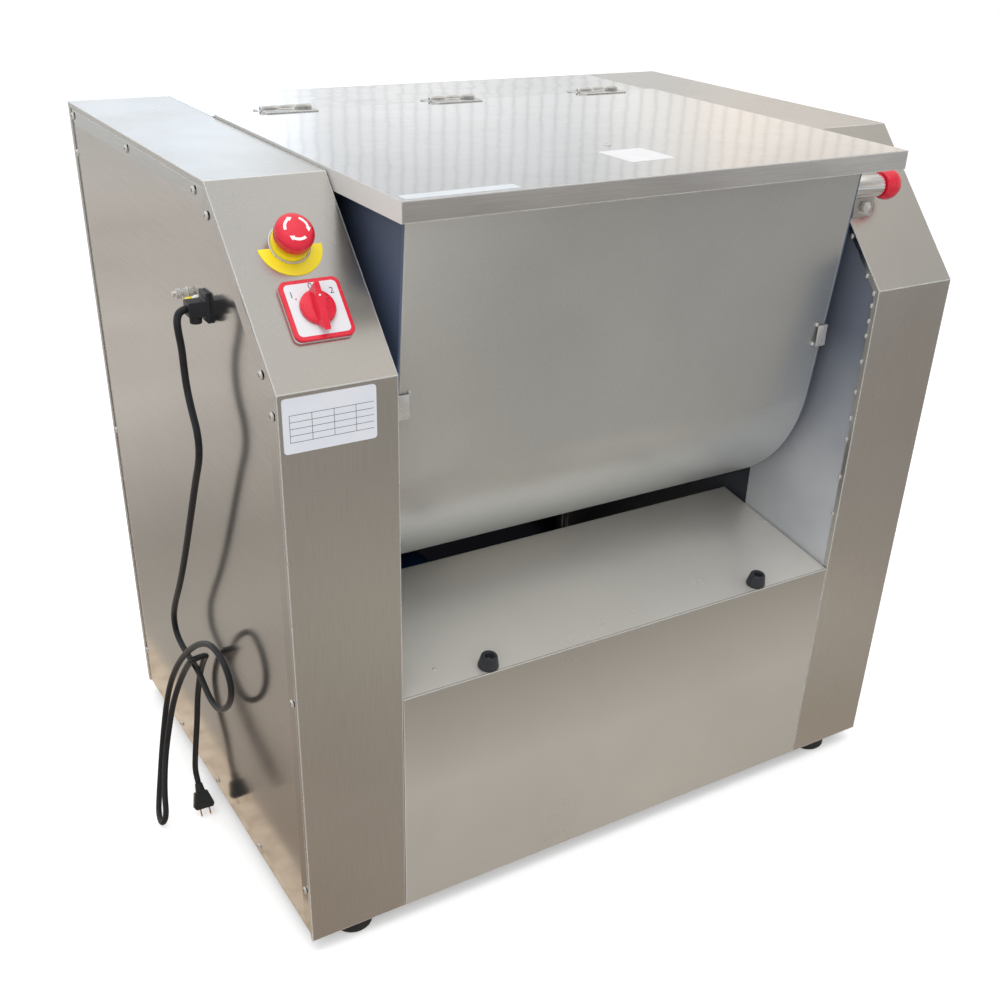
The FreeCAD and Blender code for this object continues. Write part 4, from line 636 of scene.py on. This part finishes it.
# Towards the top, under the lid, the colour runs to dark navy: painted shade.
shaded_top = fade(tree, height, 0.47, 0.68, high=0.85)
pale = blend_colour(tree, cloudy, (0.60, 0.63, 0.68), (0.76, 0.78, 0.81))
relief = add(tree, "ShaderNodeBump", {"Strength": 0.25, "Distance": 0.0002}, {"Height": pits})
finish(tree, {"Metallic": 0.45},
       {"Base Color": blend_colour(tree, shaded_top, pale, (0.13, 0.16, 0.23)),
        "Roughness": blend_value(tree, cloudy, 0.42, 0.54), "Normal": relief.outputs[0]})
dress(blasted, "inner_cover_left", "inner_cover_right", flat=True)

tacks = bmesh.new()
for depth, height in ((-0.270, 0.7965), (-0.306, 0.7555), (-0.322, 0.7375), (-0.322, 0.7220),
                      (-0.322, 0.7020), (-0.322, 0.6828), (-0.322, 0.6482), (-0.322, 0.6071),
                      (-0.322, 0.5706), (-0.322, 0.5409), (-0.322, 0.4857), (-0.322, 0.4296)):
    bead = bmesh.new()
    bmesh.ops.create_icosphere(bead, subdivisions=2, radius=0.0029)
    bmesh.ops.scale(bead, vec=(0.7, 0.8, 1.25), verts=bead.verts)
    join_into(tacks, bead, Matrix.Translation((0.3350, depth, height)))
for face in tacks.faces:
    face.smooth = True
tacks = link_mesh("weld_tacks", tacks, bright_steel)
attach(tacks, "frame")

# Front cover.
# One sheet bent over the top edge into a sloping shelf, with a small screw at its left end
# and the two rubber rests for the trough.
front_sheet, tree = new_material("front_sheet")
lines = use_group(tree, grain, {"Stretch": (22.0, 22.0, 900.0)})["Height"]
wipes = use_group(tree, mottle, {"Size": 0.16, "Contrast": 1.5})["Mask"]
parts = coordinates(tree)
on_shelf = fade(tree, parts["Y"], -0.3285, -0.3270)
# The upright panel darkens towards its top, just under the shelf: painted shade.
shade_under_shelf = fade(tree, parts["Z"], 0.20, 0.34)
panel = blend_colour(tree, wipes, (0.57, 0.54, 0.495), (0.63, 0.605, 0.555))
panel = blend_colour(tree, shade_under_shelf, panel, (0.41, 0.385, 0.345))
# The shelf gets a much paler colour than the upright of the same sheet: painted light on the
# shelf.
shelf = blend_colour(tree, wipes, (0.78, 0.76, 0.71), (0.86, 0.84, 0.79))
rounded, painted_fold_highlight = fold_mask(tree, 0.0022)
colour = blend_colour(tree, on_shelf, panel, shelf)
skin = add(tree, "ShaderNodeBump", {"Strength": 0.1, "Distance": 0.0002},
           {"Height": lines, "Normal": rounded})
finish(tree, links={
    "Base Color": blend_colour(tree, painted_fold_highlight, colour, (0.93, 0.93, 0.92)),
    "Metallic": blend_value(tree, painted_fold_highlight, 0.5, 0.25),
    "Roughness": blend_value(tree, wipes, 0.24, 0.36), "Normal": skin.outputs[0]})
dress(front_sheet, "front_cover", flat=True)
rest_rubber = plain_finish("rest_rubber", (0.016, 0.018, 0.024), (0.034, 0.037, 0.046), 0.38,
                           bump=0.2)
dress(rest_rubber, "bumpers", width=0.0012)
dress(bright_steel, "bumper_screws")

shelf_screw = spun([(0.0024, 0.0), (0.0022, 0.0008), (0.0012, 0.0013), (0.0, 0.0014)], 16)
shelf_screw.transform(standing((-0.276, -0.296, 0.35127), (0, -0.1392, 0.9903)))
shelf_screw = link_mesh("shelf_screw", shelf_screw, bright_steel)
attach(shelf_screw, "frame")

# Rear cover and lid.
# The rear strip is bright rolled sheet.  The lid is a flat tray of the same sheet with its
# flanges folded down, on three butt hinges.  It carries two bare labels and a small eyelet.
bright_sheet = stainless("bright_sheet", (0.68, 0.68, 0.67), (0.74, 0.74, 0.73), 0.05,
                         (26.0, 900.0, 900.0), cloud=0.22, haze=0.04, relief=0.02, sag=0.0010,
                         sag_size=0.10)
lid_sheet = stainless("lid_sheet", (0.74, 0.745, 0.745), (0.80, 0.80, 0.80), 0.04,
                      (26.0, 900.0, 900.0), cloud=0.14, haze=0.05, marks=0.5, relief=0.02,
                      sag=0.0007, sag_size=0.25)
dress(bright_sheet, "rear_top_cover", flat=True)
tree = lid_sheet.node_tree
# Faces that point neither up nor forward (the side and back flanges, the underside) get a pale,
# less metallic copy of the sheet: painted light on them.
facing = add(tree, "ShaderNodeTexCoord").outputs["Normal"]
parts = add(tree, "ShaderNodeSeparateXYZ", links={0: facing}).outputs
not_up = fade(tree, parts["Z"], 0.6, 0.2)
not_front = fade(tree, parts["Y"], -0.6, -0.4)
lit_side_faces = add(tree, "ShaderNodeMath", links={0: not_up, 1: not_front},
                operation="MULTIPLY")
matt = add(tree, "ShaderNodeBsdfPrincipled", {"Base Color": (0.78, 0.78, 0.77, 1),
                                              "Roughness": 0.5, "Metallic": 0.3})
output = tree.nodes["Material Output"]
sheet = output.inputs["Surface"].links[0].from_socket
both = add(tree, "ShaderNodeMixShader", links={0: lit_side_faces.outputs[0], 1: sheet,
                                               2: matt.outputs[0]})
tree.links.new(both.outputs[0], output.inputs["Surface"])
dress(lid_sheet, "lid", flat=True)
dress(bright_sheet, "hinge_leaves_fixed", "hinge_leaves_lid", width=0.0002)

label_white = plain_finish("label_white", (0.74, 0.74, 0.76), (0.80, 0.80, 0.82), 0.30,
                           size=0.02, bump=0.02)


def rounded_plate(width, height, thick, corner):
    """A thin plate in XY on the origin, with rounded corners."""
    bm = box_form((width, height, thick), (0, 0, thick / 2))
    posts = [e for e in bm.edges if abs(e.verts[0].co.z - e.verts[1].co.z) > thick / 2]
    bmesh.ops.bevel(bm, geom=posts, offset=corner, segments=6, affect="EDGES", profile=0.5,
                    material=-1)
    return bm


film = plain_finish("label_film", (0.62, 0.66, 0.70), (0.70, 0.74, 0.78), 0.12, bump=0.02)
label_height = 0.9115
labels = bmesh.new()
join_into(labels, rounded_plate(0.062, 0.062, 0.0002, 0.003),
          Matrix.Translation((0.009, -0.238, label_height)) @ Matrix.Rotation(0.04, 4, "Z"))
join_into(labels, rounded_plate(0.128, 0.017, 0.0002, 0.001),
          Matrix.Translation((-0.262, -0.3215, label_height)) @ Matrix.Rotation(0.018, 4, "Z"),
          material=1)
labels = link_mesh("lid_labels", labels, label_white)
labels.data.materials.append(film)
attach(labels, "lid")

eyelet = spun([(0.0024, 0.0), (0.0024, 0.0013), (0.0032, 0.0017), (0.0043, 0.0013),
               (0.0050, 0.0002), (0.0050, 0.0)], 24)
eyelet.transform(Matrix.Translation((0.012, -0.178, 0.9114)))
eyelet = link_mesh("lid_eyelet", eyelet, bright_steel)
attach(eyelet, "lid")

# Trough.
# A U-shaped trough of thick satin sheet between two end plates, with folded clips tacked on
# the front edges, and the mixing arms and bars inside.
satin = stainless("satin_sheet", (0.61, 0.63, 0.63), (0.69, 0.71, 0.71), 0.27,
                  (520.0, 620.0, 620.0), cloud=0.16, haze=0.10, relief=0.05, metallic=0.85,
                  fold=0.0014)
dress(satin, "trough_shell", width=0.0009, segments=3)
end_sheet, tree = new_material("end_sheet")
cloudy = use_group(tree, mottle, {"Size": 0.12, "Contrast": 1.5})["Mask"]
spot = add(tree, "ShaderNodeTexCoord").outputs["Object"]
across = add(tree, "ShaderNodeVectorMath", links={0: spot}, operation="ABSOLUTE")
reach = add(tree, "ShaderNodeSeparateXYZ", links={0: across.outputs[0]}).outputs["X"]
# The outer faces, which look into the narrow gap to the cabinets, are painted dark navy and matt:
# painted shade.
outside = fade(tree, reach, 0.3072, 0.3076)
inner = blend_colour(tree, cloudy, (0.58, 0.59, 0.585), (0.66, 0.67, 0.665))
shaded_outer_face = blend_colour(tree, cloudy, (0.08, 0.11, 0.18), (0.12, 0.15, 0.23))
finish(tree, links={
    "Base Color": blend_colour(tree, outside, inner, shaded_outer_face),
    "Metallic": blend_value(tree, outside, 0.9, 0.2),
    "Roughness": blend_value(tree, outside, 0.30, 0.55)})
dress(end_sheet, "trough_end_left", "trough_end_right", "latch_keeper", width=0.0006)
dress(bright_steel, "edge_clips", width=0.0006)
dress(satin, "mixing_arms", "mixing_bars", width=0.001)

clip_tacks = bmesh.new()
for low, high in pieces_of("edge_clips"):
    inward = 1 if low.x < 0 else -1
    edge = high.x if low.x < 0 else low.x
    for height in (high.z + 0.001, low.z + 0.003):
        bead = bmesh.new()
        bmesh.ops.create_icosphere(bead, subdivisions=2, radius=0.0028)
        wall = low.y + 0.0045 - (height - (low.z + high.z) / 2) * 0.098
        join_into(clip_tacks, bead, Matrix.Translation((edge + inward * 0.001, wall, height)))
for face in clip_tacks.faces:
    face.smooth = True
clip_tacks = link_mesh("clip_tacks", clip_tacks, bright_steel)
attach(clip_tacks, "trough")

# Trough latch.
# A red ball on a plunger in a polished sleeve, on an angle bracket with one hexagon bolt.
bracket_steel, tree = new_material("bracket_steel")
lines = use_group(tree, grain, {"Stretch": (22.0, 900.0, 900.0)})["Height"]
wipes = use_group(tree, mottle, {"Size": 0.03, "Contrast": 1.5})["Mask"]
spot = add(tree, "ShaderNodeTexCoord").outputs["Object"]
from_axis = add(tree, "ShaderNodeVectorMath", {1: (0.0, -0.260, 0.854)}, {0: spot},
                operation="SUBTRACT")
across = add(tree, "ShaderNodeVectorMath", {1: (0.0, 1.0, 1.0)}, {0: from_axis.outputs[0]},
             operation="MULTIPLY")
radius = add(tree, "ShaderNodeVectorMath", links={0: across.outputs[0]}, operation="LENGTH")
plate_part = fade(tree, radius.outputs["Value"], 0.0142, 0.0146)
sheet = blend_colour(tree, wipes, (0.66, 0.65, 0.63), (0.75, 0.74, 0.72))
colour = blend_colour(tree, plate_part, (0.95, 0.95, 0.95), sheet)
skin = add(tree, "ShaderNodeBump", {"Strength": 0.05, "Distance": 0.0002}, {"Height": lines})
finish(tree, {"Metallic": 1.0},
       {"Base Color": colour, "Normal": skin.outputs[0],
        "Roughness": blend_value(tree, plate_part, 0.06, 0.24)})
dress(bracket_steel, "latch_bracket", width=0.0006)
dress(bright_steel, "latch_bolt", width=0.0004)

red = plain_finish("red_plastic", (0.66, 0.006, 0.030), (0.74, 0.012, 0.042), 0.22, size=0.02,
                   bump=0.02, coat=0.5)
ball = [(0.0, 0.0310), (0.0025, 0.0308)]
for step in range(2, 24):
    angle = math.radians(90 - step * 5.6)
    ball.append((0.019 * math.cos(angle), 0.012 + 0.019 * math.sin(angle)))
ball += [(0.0140, 0.0), (0.0095, 0.0)]
ball = spun(ball, 48)
ball.transform(standing((0.3782, -0.260, 0.854), (1, 0, 0)))
ball = link_mesh("ball_knob", ball, red)
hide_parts("latch_knob")
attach(ball, "latch")

# Emergency button.
# A red mushroom head with a knurled skirt and three turned arrows, on a yellow collar with a
# pale locking ring, over a yellow crescent.
lean = math.atan2(166.5, 158.5)
up_slope = Vector((0, math.cos(lean), math.sin(lean)))
off_slope = Vector((0, -math.sin(lean), math.cos(lean)))


def on_slope(x, down, height=0.0):
    """The placing whose X is the machine's X, Y points up the slope and Z stands off it."""
    origin = Vector((x, -0.1715, 0.9085)) - up_slope * down + off_slope * height
    turn = Matrix(((1, 0, 0), up_slope, off_slope)).transposed().to_4x4()
    return Matrix.Translation(origin) @ turn


yellow = plain_finish("yellow_plastic", (0.88, 0.70, 0.01), (0.93, 0.76, 0.02), 0.30, size=0.02,
                      bump=0.03, coat=0.3)
black_plastic = plain_finish("black_plastic", (0.010, 0.011, 0.015), (0.020, 0.022, 0.028), 0.30)
white_print = plain_finish("white_print", (0.86, 0.86, 0.84), (0.90, 0.90, 0.88), 0.35, bump=0.02)
dress(yellow, "estop_collar", "estop_legend", width=0.0003)
dress(black_plastic, "estop_stem")
button_place = on_slope(-0.401, 0.077)
ring = spun([(0.0202, 0.0008), (0.0217, 0.0008), (0.0217, 0.0018), (0.0211, 0.0024),
             (0.0202, 0.0024)], 48)
ring.transform(button_place)
ring = link_mesh("locking_ring", ring, bright_steel)
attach(ring, "frame")

head = spun([(0.0, 0.0320), (0.004, 0.03187), (0.008, 0.03148), (0.012, 0.03082),
             (0.0150, 0.0300), (0.0174, 0.0286), (0.0190, 0.0268), (0.0198, 0.0246),
             (0.0200, 0.0222), (0.0200, 0.0205), (0.0196, 0.0198), (0.0200, 0.0192),
             (0.0200, 0.0158), (0.0196, 0.0150), (0.0180, 0.0140), (0.0150, 0.0140),
             (0.0082, 0.0140), (0.0082, 0.0170), (0.0, 0.0170)], 96)
for vert in head.verts:
    notch = round(math.atan2(vert.co.y, vert.co.x) / (math.tau / 96)) % 2
    if notch and 0.0155 < vert.co.z < 0.0195 and vert.co.xy.length > 0.019:
        vert.co.xy *= 0.972
arrows = bmesh.new()
for third in range(3):
    arrow = bmesh.new()
    start = [arrow.verts.new((radius, 0, 0)) for radius in (0.0104, 0.0131)]
    arrow.edges.new(start)
    bmesh.ops.spin(arrow, geom=arrow.verts[:] + arrow.edges[:], cent=(0, 0, 0), axis=(0, 0, -1),
                   angle=math.radians(66), steps=14)
    tip = bmesh.new()
    bmesh.ops.create_circle(tip, cap_ends=True, radius=0.0031, segments=3)
    bmesh.ops.rotate(tip, verts=tip.verts, cent=(0, 0, 0), matrix=Matrix.Rotation(math.pi, 3, "Z"))
    bmesh.ops.translate(tip, verts=tip.verts, vec=(0.01175, 0, 0))
    join_into(arrow, tip, Matrix.Rotation(math.radians(-71), 4, "Z"))
    join_into(arrows, arrow, Matrix.Rotation(math.radians(182 - 120 * third), 4, "Z"))
bmesh.ops.subdivide_edges(arrows, edges=arrows.edges, cuts=1, use_grid_fill=True)
for vert in arrows.verts:
    vert.co.z = 0.0320 - 0.0082 * (vert.co.xy.length / 0.01) ** 2 * 0.1 + 0.00012
bmesh.ops.recalc_face_normals(arrows, faces=arrows.faces)
if sum(face.normal.z for face in arrows.faces) < 0:
    bmesh.ops.reverse_faces(arrows, faces=arrows.faces)
for face in arrows.faces:
    face.smooth = True
join_into(head, arrows, material=1)
head.transform(button_place)
head = link_mesh("mushroom_head", head, red)
head.data.materials.append(white_print)
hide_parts("estop_button")
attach(head, "estop_head")

# Rotary switch.
# A red frame round a white dial with the numbers 1, 0 and 2, on a white base, and a red knob
# with a faceted grip.
switch_place = on_slope(-0.397, 0.150)
base = rounded_plate(0.063, 0.063, 0.0022, 0.007)
rim = rounded_plate(0.064, 0.064, 0.0038, 0.008)
bmesh.ops.bevel(rim, geom=[e for e in rim.edges if min(v.co.z for v in e.verts) > 0.0037],
                offset=0.0008, segments=2, affect="EDGES", profile=0.5, material=-1)
join_into(base, rim, Matrix.Translation((0, 0, 0.0021)), material=1)
join_into(base, rounded_plate(0.0555, 0.0555, 0.0004, 0.005),
          Matrix.Translation((0, 0, 0.0057)), material=2)
base.transform(switch_place)
dial_white = plain_finish("dial_white", (0.68, 0.68, 0.71), (0.73, 0.73, 0.76), 0.35, bump=0.02)
base = link_mesh("dial_plate", base, white_print)
base.data.materials.append(red)
base.data.materials.append(dial_white)
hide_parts("switch_plate")
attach(base, "frame")

print_blue = plain_finish("print_blue", (0.035, 0.045, 0.11), (0.05, 0.06, 0.13), 0.5, bump=0.02)
print_height = 0.00616
marks = bmesh.new()
for text, x, y in (("1", -0.0219, 0.0165), ("0", 0.0, 0.0238), ("2", 0.0205, 0.0165)):
    letters = bpy.data.curves.new("number_" + text, "FONT")
    letters.body = text
    letters.size = 0.0095
    letters.align_x = "CENTER"
    letters.align_y = "CENTER"
    figure = bpy.data.objects.new("number_" + text, letters)
    flat = bpy.data.meshes.new_from_object(figure)
    number = bmesh.new()
    number.from_mesh(flat)
    join_into(marks, number, Matrix.Translation((x, y, print_height)))
    bpy.data.objects.remove(figure)
for x, y in ((-0.0185, 0.0120), (0.0, 0.0186)):
    dot = bmesh.new()
    bmesh.ops.create_circle(dot, cap_ends=True, radius=0.0009, segments=12)
    join_into(marks, dot, Matrix.Translation((x, y, print_height)), material=1)
marks.transform(switch_place)
marks = link_mesh("dial_numbers", marks, print_blue)
marks.data.materials.append(red)
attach(marks, "frame")

knob = spun([(0.0, 0.0110), (0.0165, 0.0110), (0.0176, 0.0105), (0.0182, 0.0092),
             (0.0184, 0.0063), (0.0, 0.0063)], 48)
grip = bmesh.new()
corners = [grip.verts.new((x, y, 0.0066)) for x, y in (
    (-0.0066, -0.0175), (0.0066, -0.0175), (0.0082, -0.003), (0.0052, 0.0175),
    (-0.0052, 0.0175), (-0.0082, -0.003))]
outline = grip.faces.new(corners)
raised = bmesh.ops.extrude_face_region(grip, geom=[outline])["geom"]
ridge = [part for part in raised if isinstance(part, bmesh.types.BMVert)]
bmesh.ops.translate(grip, verts=ridge, vec=(0, 0, 0.0164))
bmesh.ops.scale(grip, verts=ridge, vec=(0.46, 1.0, 1.0))
for vert in ridge:
    vert.co.y = 0.0190 if vert.co.y > 0.01 else (-0.0275 if vert.co.y < -0.01 else 0.002)
    vert.co.z = 0.0205 + 0.22 * vert.co.y
bmesh.ops.recalc_face_normals(grip, faces=grip.faces)
bmesh.ops.bevel(grip, geom=grip.edges[:], offset=0.0006, segments=2, affect="EDGES", profile=0.5,
                material=-1)
join_into(knob, grip)
dot = spun([(0.0, 0.0004), (0.0010, 0.0003), (0.0012, 0.0)], 16)
join_into(knob, dot, Matrix.Translation((0, 0.0060, 0.02165)), material=1)
knob.transform(switch_place)
knob = link_mesh("pointer_knob", knob, red)
knob.data.materials.append(white_print)
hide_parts("switch_knob")
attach(knob, "switch")
dress(black_plastic, "switch_body")

# Rating plate.
# A white coated plate with rounded corners on the left cabinet's front.  Only the ruled lines
# of its table are printed; it carries no words.
plate_print, tree = new_material("plate_print")
parts = coordinates(tree)


def ruled(tree, source, first, pitch, low, high):
    """1 on thin lines at every pitch from the first, between low and high."""
    shifted = add(tree, "ShaderNodeMath", {1: first}, {0: source}, operation="SUBTRACT")
    nearest = add(tree, "ShaderNodeMath", {1: pitch / 2}, {0: shifted.outputs[0]},
                  operation="PINGPONG")
    thin = add(tree, "ShaderNodeMath", {1: 0.00030}, {0: nearest.outputs[0]},
               operation="LESS_THAN")
    above = add(tree, "ShaderNodeMath", {1: low - 0.0004}, {0: source}, operation="GREATER_THAN")
    below = add(tree, "ShaderNodeMath", {1: high + 0.0004}, {0: source}, operation="LESS_THAN")
    within = add(tree, "ShaderNodeMath", links={0: above.outputs[0], 1: below.outputs[0]},
                 operation="MULTIPLY")
    return thin.outputs[0], within.outputs[0]


rows, in_rows = ruled(tree, parts["Z"], 0.6920, 0.0070, 0.6920, 0.7200)
columns, in_columns = ruled(tree, parts["X"], -0.3830, 0.0235, -0.4535, -0.3640)
row_lines = add(tree, "ShaderNodeMath", links={0: rows, 1: in_rows}, operation="MULTIPLY")
row_lines = add(tree, "ShaderNodeMath", links={0: row_lines.outputs[0], 1: in_columns},
                operation="MULTIPLY")
column_lines = add(tree, "ShaderNodeMath", links={0: columns, 1: in_rows}, operation="MULTIPLY")
column_lines = add(tree, "ShaderNodeMath", links={0: column_lines.outputs[0], 1: in_columns},
                   operation="MULTIPLY")
table = add(tree, "ShaderNodeMath", links={0: row_lines.outputs[0], 1: column_lines.outputs[0]},
            operation="MAXIMUM")
tone = use_group(tree, mottle, {"Size": 0.03, "Contrast": 1.5})["Mask"]
coating = blend_colour(tree, tone, (0.66, 0.68, 0.74), (0.72, 0.74, 0.79))
finish(tree, links={
    "Base Color": blend_colour(tree, table.outputs[0], coating, (0.10, 0.11, 0.14)),
    "Roughness": blend_value(tree, tone, 0.30, 0.40)})
rating = rounded_plate(0.100, 0.057, 0.0008, 0.0035)
rating.transform(Matrix.Translation((-0.4105, -0.3300, 0.7090))
                 @ Matrix.Rotation(math.pi / 2, 4, "X"))
rating = link_mesh("rating_plate", rating, plate_print)
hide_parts("nameplate")
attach(rating, "frame")

# Mains lead.
# A black rubber lead, seen end to end: out of the gland, down the panel, once round in a
# loose loop, a fold that stands on the floor, and over itself to the plug.
dress(black_plastic, "cable_gland", width=0.0012, segments=3)
dress(bright_steel, "earth_screw", width=0.0003)

plug_finish, tree = new_material("plug_finish")
spot = add(tree, "ShaderNodeTexCoord").outputs["Object"]
from_end = add(tree, "ShaderNodeVectorMath", {1: (-0.4915, 0.012, 0.044)}, {0: spot},
               operation="SUBTRACT")
along = add(tree, "ShaderNodeVectorMath", {1: (-0.0168, -0.5450, -0.8383)},
            {0: from_end.outputs[0]}, operation="DOT_PRODUCT")
is_pin = fade(tree, along.outputs["Value"], 0.0370, 0.0373)
tone = use_group(tree, mottle, {"Size": 0.008, "Contrast": 1.8})["Mask"]
moulded = blend_colour(tree, tone, (0.008, 0.008, 0.009), (0.018, 0.018, 0.020))
ridges = add(tree, "ShaderNodeMath", {1: 2600.0}, {0: along.outputs["Value"]},
             operation="MULTIPLY")
ridges = add(tree, "ShaderNodeMath", links={0: ridges.outputs[0]}, operation="SINE")
skin = add(tree, "ShaderNodeBump", {"Strength": 0.25, "Distance": 0.0004},
           {"Height": ridges.outputs[0]})
finish(tree, links={
    "Base Color": blend_colour(tree, is_pin, moulded, (0.72, 0.42, 0.20)), "Metallic": is_pin,
    "Roughness": blend_value(tree, tone, 0.26, 0.38), "Normal": skin.outputs[0]})
dress(plug_finish, "plug", width=0.0008)

# Earthing point.
# A stud with two nuts beside the gland, a yellow sleeve on the earth wire's end and a small
# white cap.
earth_bits = spun([(0.0, 0.0), (0.0045, 0.0), (0.0050, 0.0008), (0.0050, 0.0120),
                   (0.0040, 0.0130), (0.0, 0.0130)], 24)
earth_bits.transform(standing((-0.4648, -0.1175, 0.7759), (-1, 0, 0)))
cap = spun([(0.0, 0.0), (0.0030, 0.0), (0.0030, 0.0060), (0.0016, 0.0085), (0.0, 0.0088)], 16)
join_into(earth_bits, cap, standing((-0.4648, -0.1286, 0.7825), (-1, 0, 0)), material=1)
for face in earth_bits.faces:
    face.smooth = True
earth_bits = link_mesh("earth_sleeve", earth_bits, yellow)
earth_bits.data.materials.append(white_print)
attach(earth_bits, "frame")

cord_rubber = plain_finish("cord_rubber", (0.007, 0.008, 0.011), (0.014, 0.015, 0.020), 0.26,
                           size=0.01, bump=0.1)
lead_route = [
    (-0.4870, -0.1480, 0.7780), (-0.4940, -0.1490, 0.7775), (-0.4990, -0.1510, 0.7700),
    (-0.4990, -0.1520, 0.7570), (-0.4960, -0.1480, 0.7380), (-0.4935, -0.1400, 0.7140),
    (-0.4925, -0.1390, 0.6900), (-0.4920, -0.1470, 0.6670), (-0.4920, -0.1600, 0.6460),
    (-0.4920, -0.1580, 0.6170), (-0.4920, -0.1330, 0.5780), (-0.4920, -0.1020, 0.5240),
    (-0.4920, -0.0700, 0.4690), (-0.4920, -0.0420, 0.4230), (-0.4915, -0.0130, 0.3810),
    (-0.4910, 0.0180, 0.3410), (-0.4905, 0.0380, 0.3080), (-0.4895, 0.0360, 0.2800),
    (-0.4880, 0.0040, 0.2680), (-0.4865, -0.0310, 0.2660), (-0.4860, -0.0540, 0.2520),
    (-0.4860, -0.0780, 0.2410), (-0.4860, -0.1090, 0.2460), (-0.4865, -0.1430, 0.2700),
    (-0.4870, -0.1680, 0.3000), (-0.4880, -0.1760, 0.3270), (-0.4895, -0.1630, 0.3500),
    (-0.4920, -0.1300, 0.3580), (-0.4950, -0.0920, 0.3410), (-0.4980, -0.0490, 0.3080),
    (-0.5015, -0.0080, 0.2680), (-0.5060, 0.0260, 0.2220), (-0.5120, 0.0430, 0.1780),
    (-0.5190, 0.0470, 0.1380), (-0.5280, 0.0440, 0.0970), (-0.5370, 0.0370, 0.0580),
    (-0.5450, 0.0290, 0.0270), (-0.5520, 0.0160, 0.0080), (-0.5540, -0.0060, 0.0060),
    (-0.5480, -0.0130, 0.0240), (-0.5440, -0.0020, 0.0520), (-0.5360, 0.0120, 0.0820),
    (-0.5280, 0.0200, 0.1120), (-0.5190, 0.0220, 0.1480), (-0.5110, 0.0180, 0.1860),
    (-0.5030, 0.0060, 0.2220), (-0.4985, -0.0120, 0.2520), (-0.4970, -0.0330, 0.2760),
    (-0.4955, -0.0480, 0.2910), (-0.4765, -0.0490, 0.2930), (-0.4755, -0.0320, 0.2770),
    (-0.4755, -0.0120, 0.2500), (-0.4760, 0.0040, 0.2190), (-0.4785, 0.0120, 0.1870),
    (-0.4820, 0.0140, 0.1500), (-0.4870, 0.0150, 0.1140), (-0.4900, 0.0180, 0.0840),
    (-0.4910, 0.0205, 0.0660), (-0.4913, 0.0185, 0.0540), (-0.4915, 0.0120, 0.0440),
]
curve = bpy.data.curves.new("mains_lead", "CURVE")
curve.dimensions = "3D"
curve.resolution_u = 12
curve.bevel_depth = 0.004
curve.bevel_resolution = 5
curve.use_fill_caps = True
spline = curve.splines.new("NURBS")
spline.points.add(len(lead_route) - 1)
for point, place in zip(spline.points, lead_route):
    point.co = (*place, 1)
spline.order_u = 3
spline.use_endpoint_u = True
lead = bpy.data.objects.new("mains_lead", curve)
bpy.context.scene.collection.objects.link(lead)
curve.materials.append(cord_rubber)
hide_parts("cord")
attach(lead, "frame")
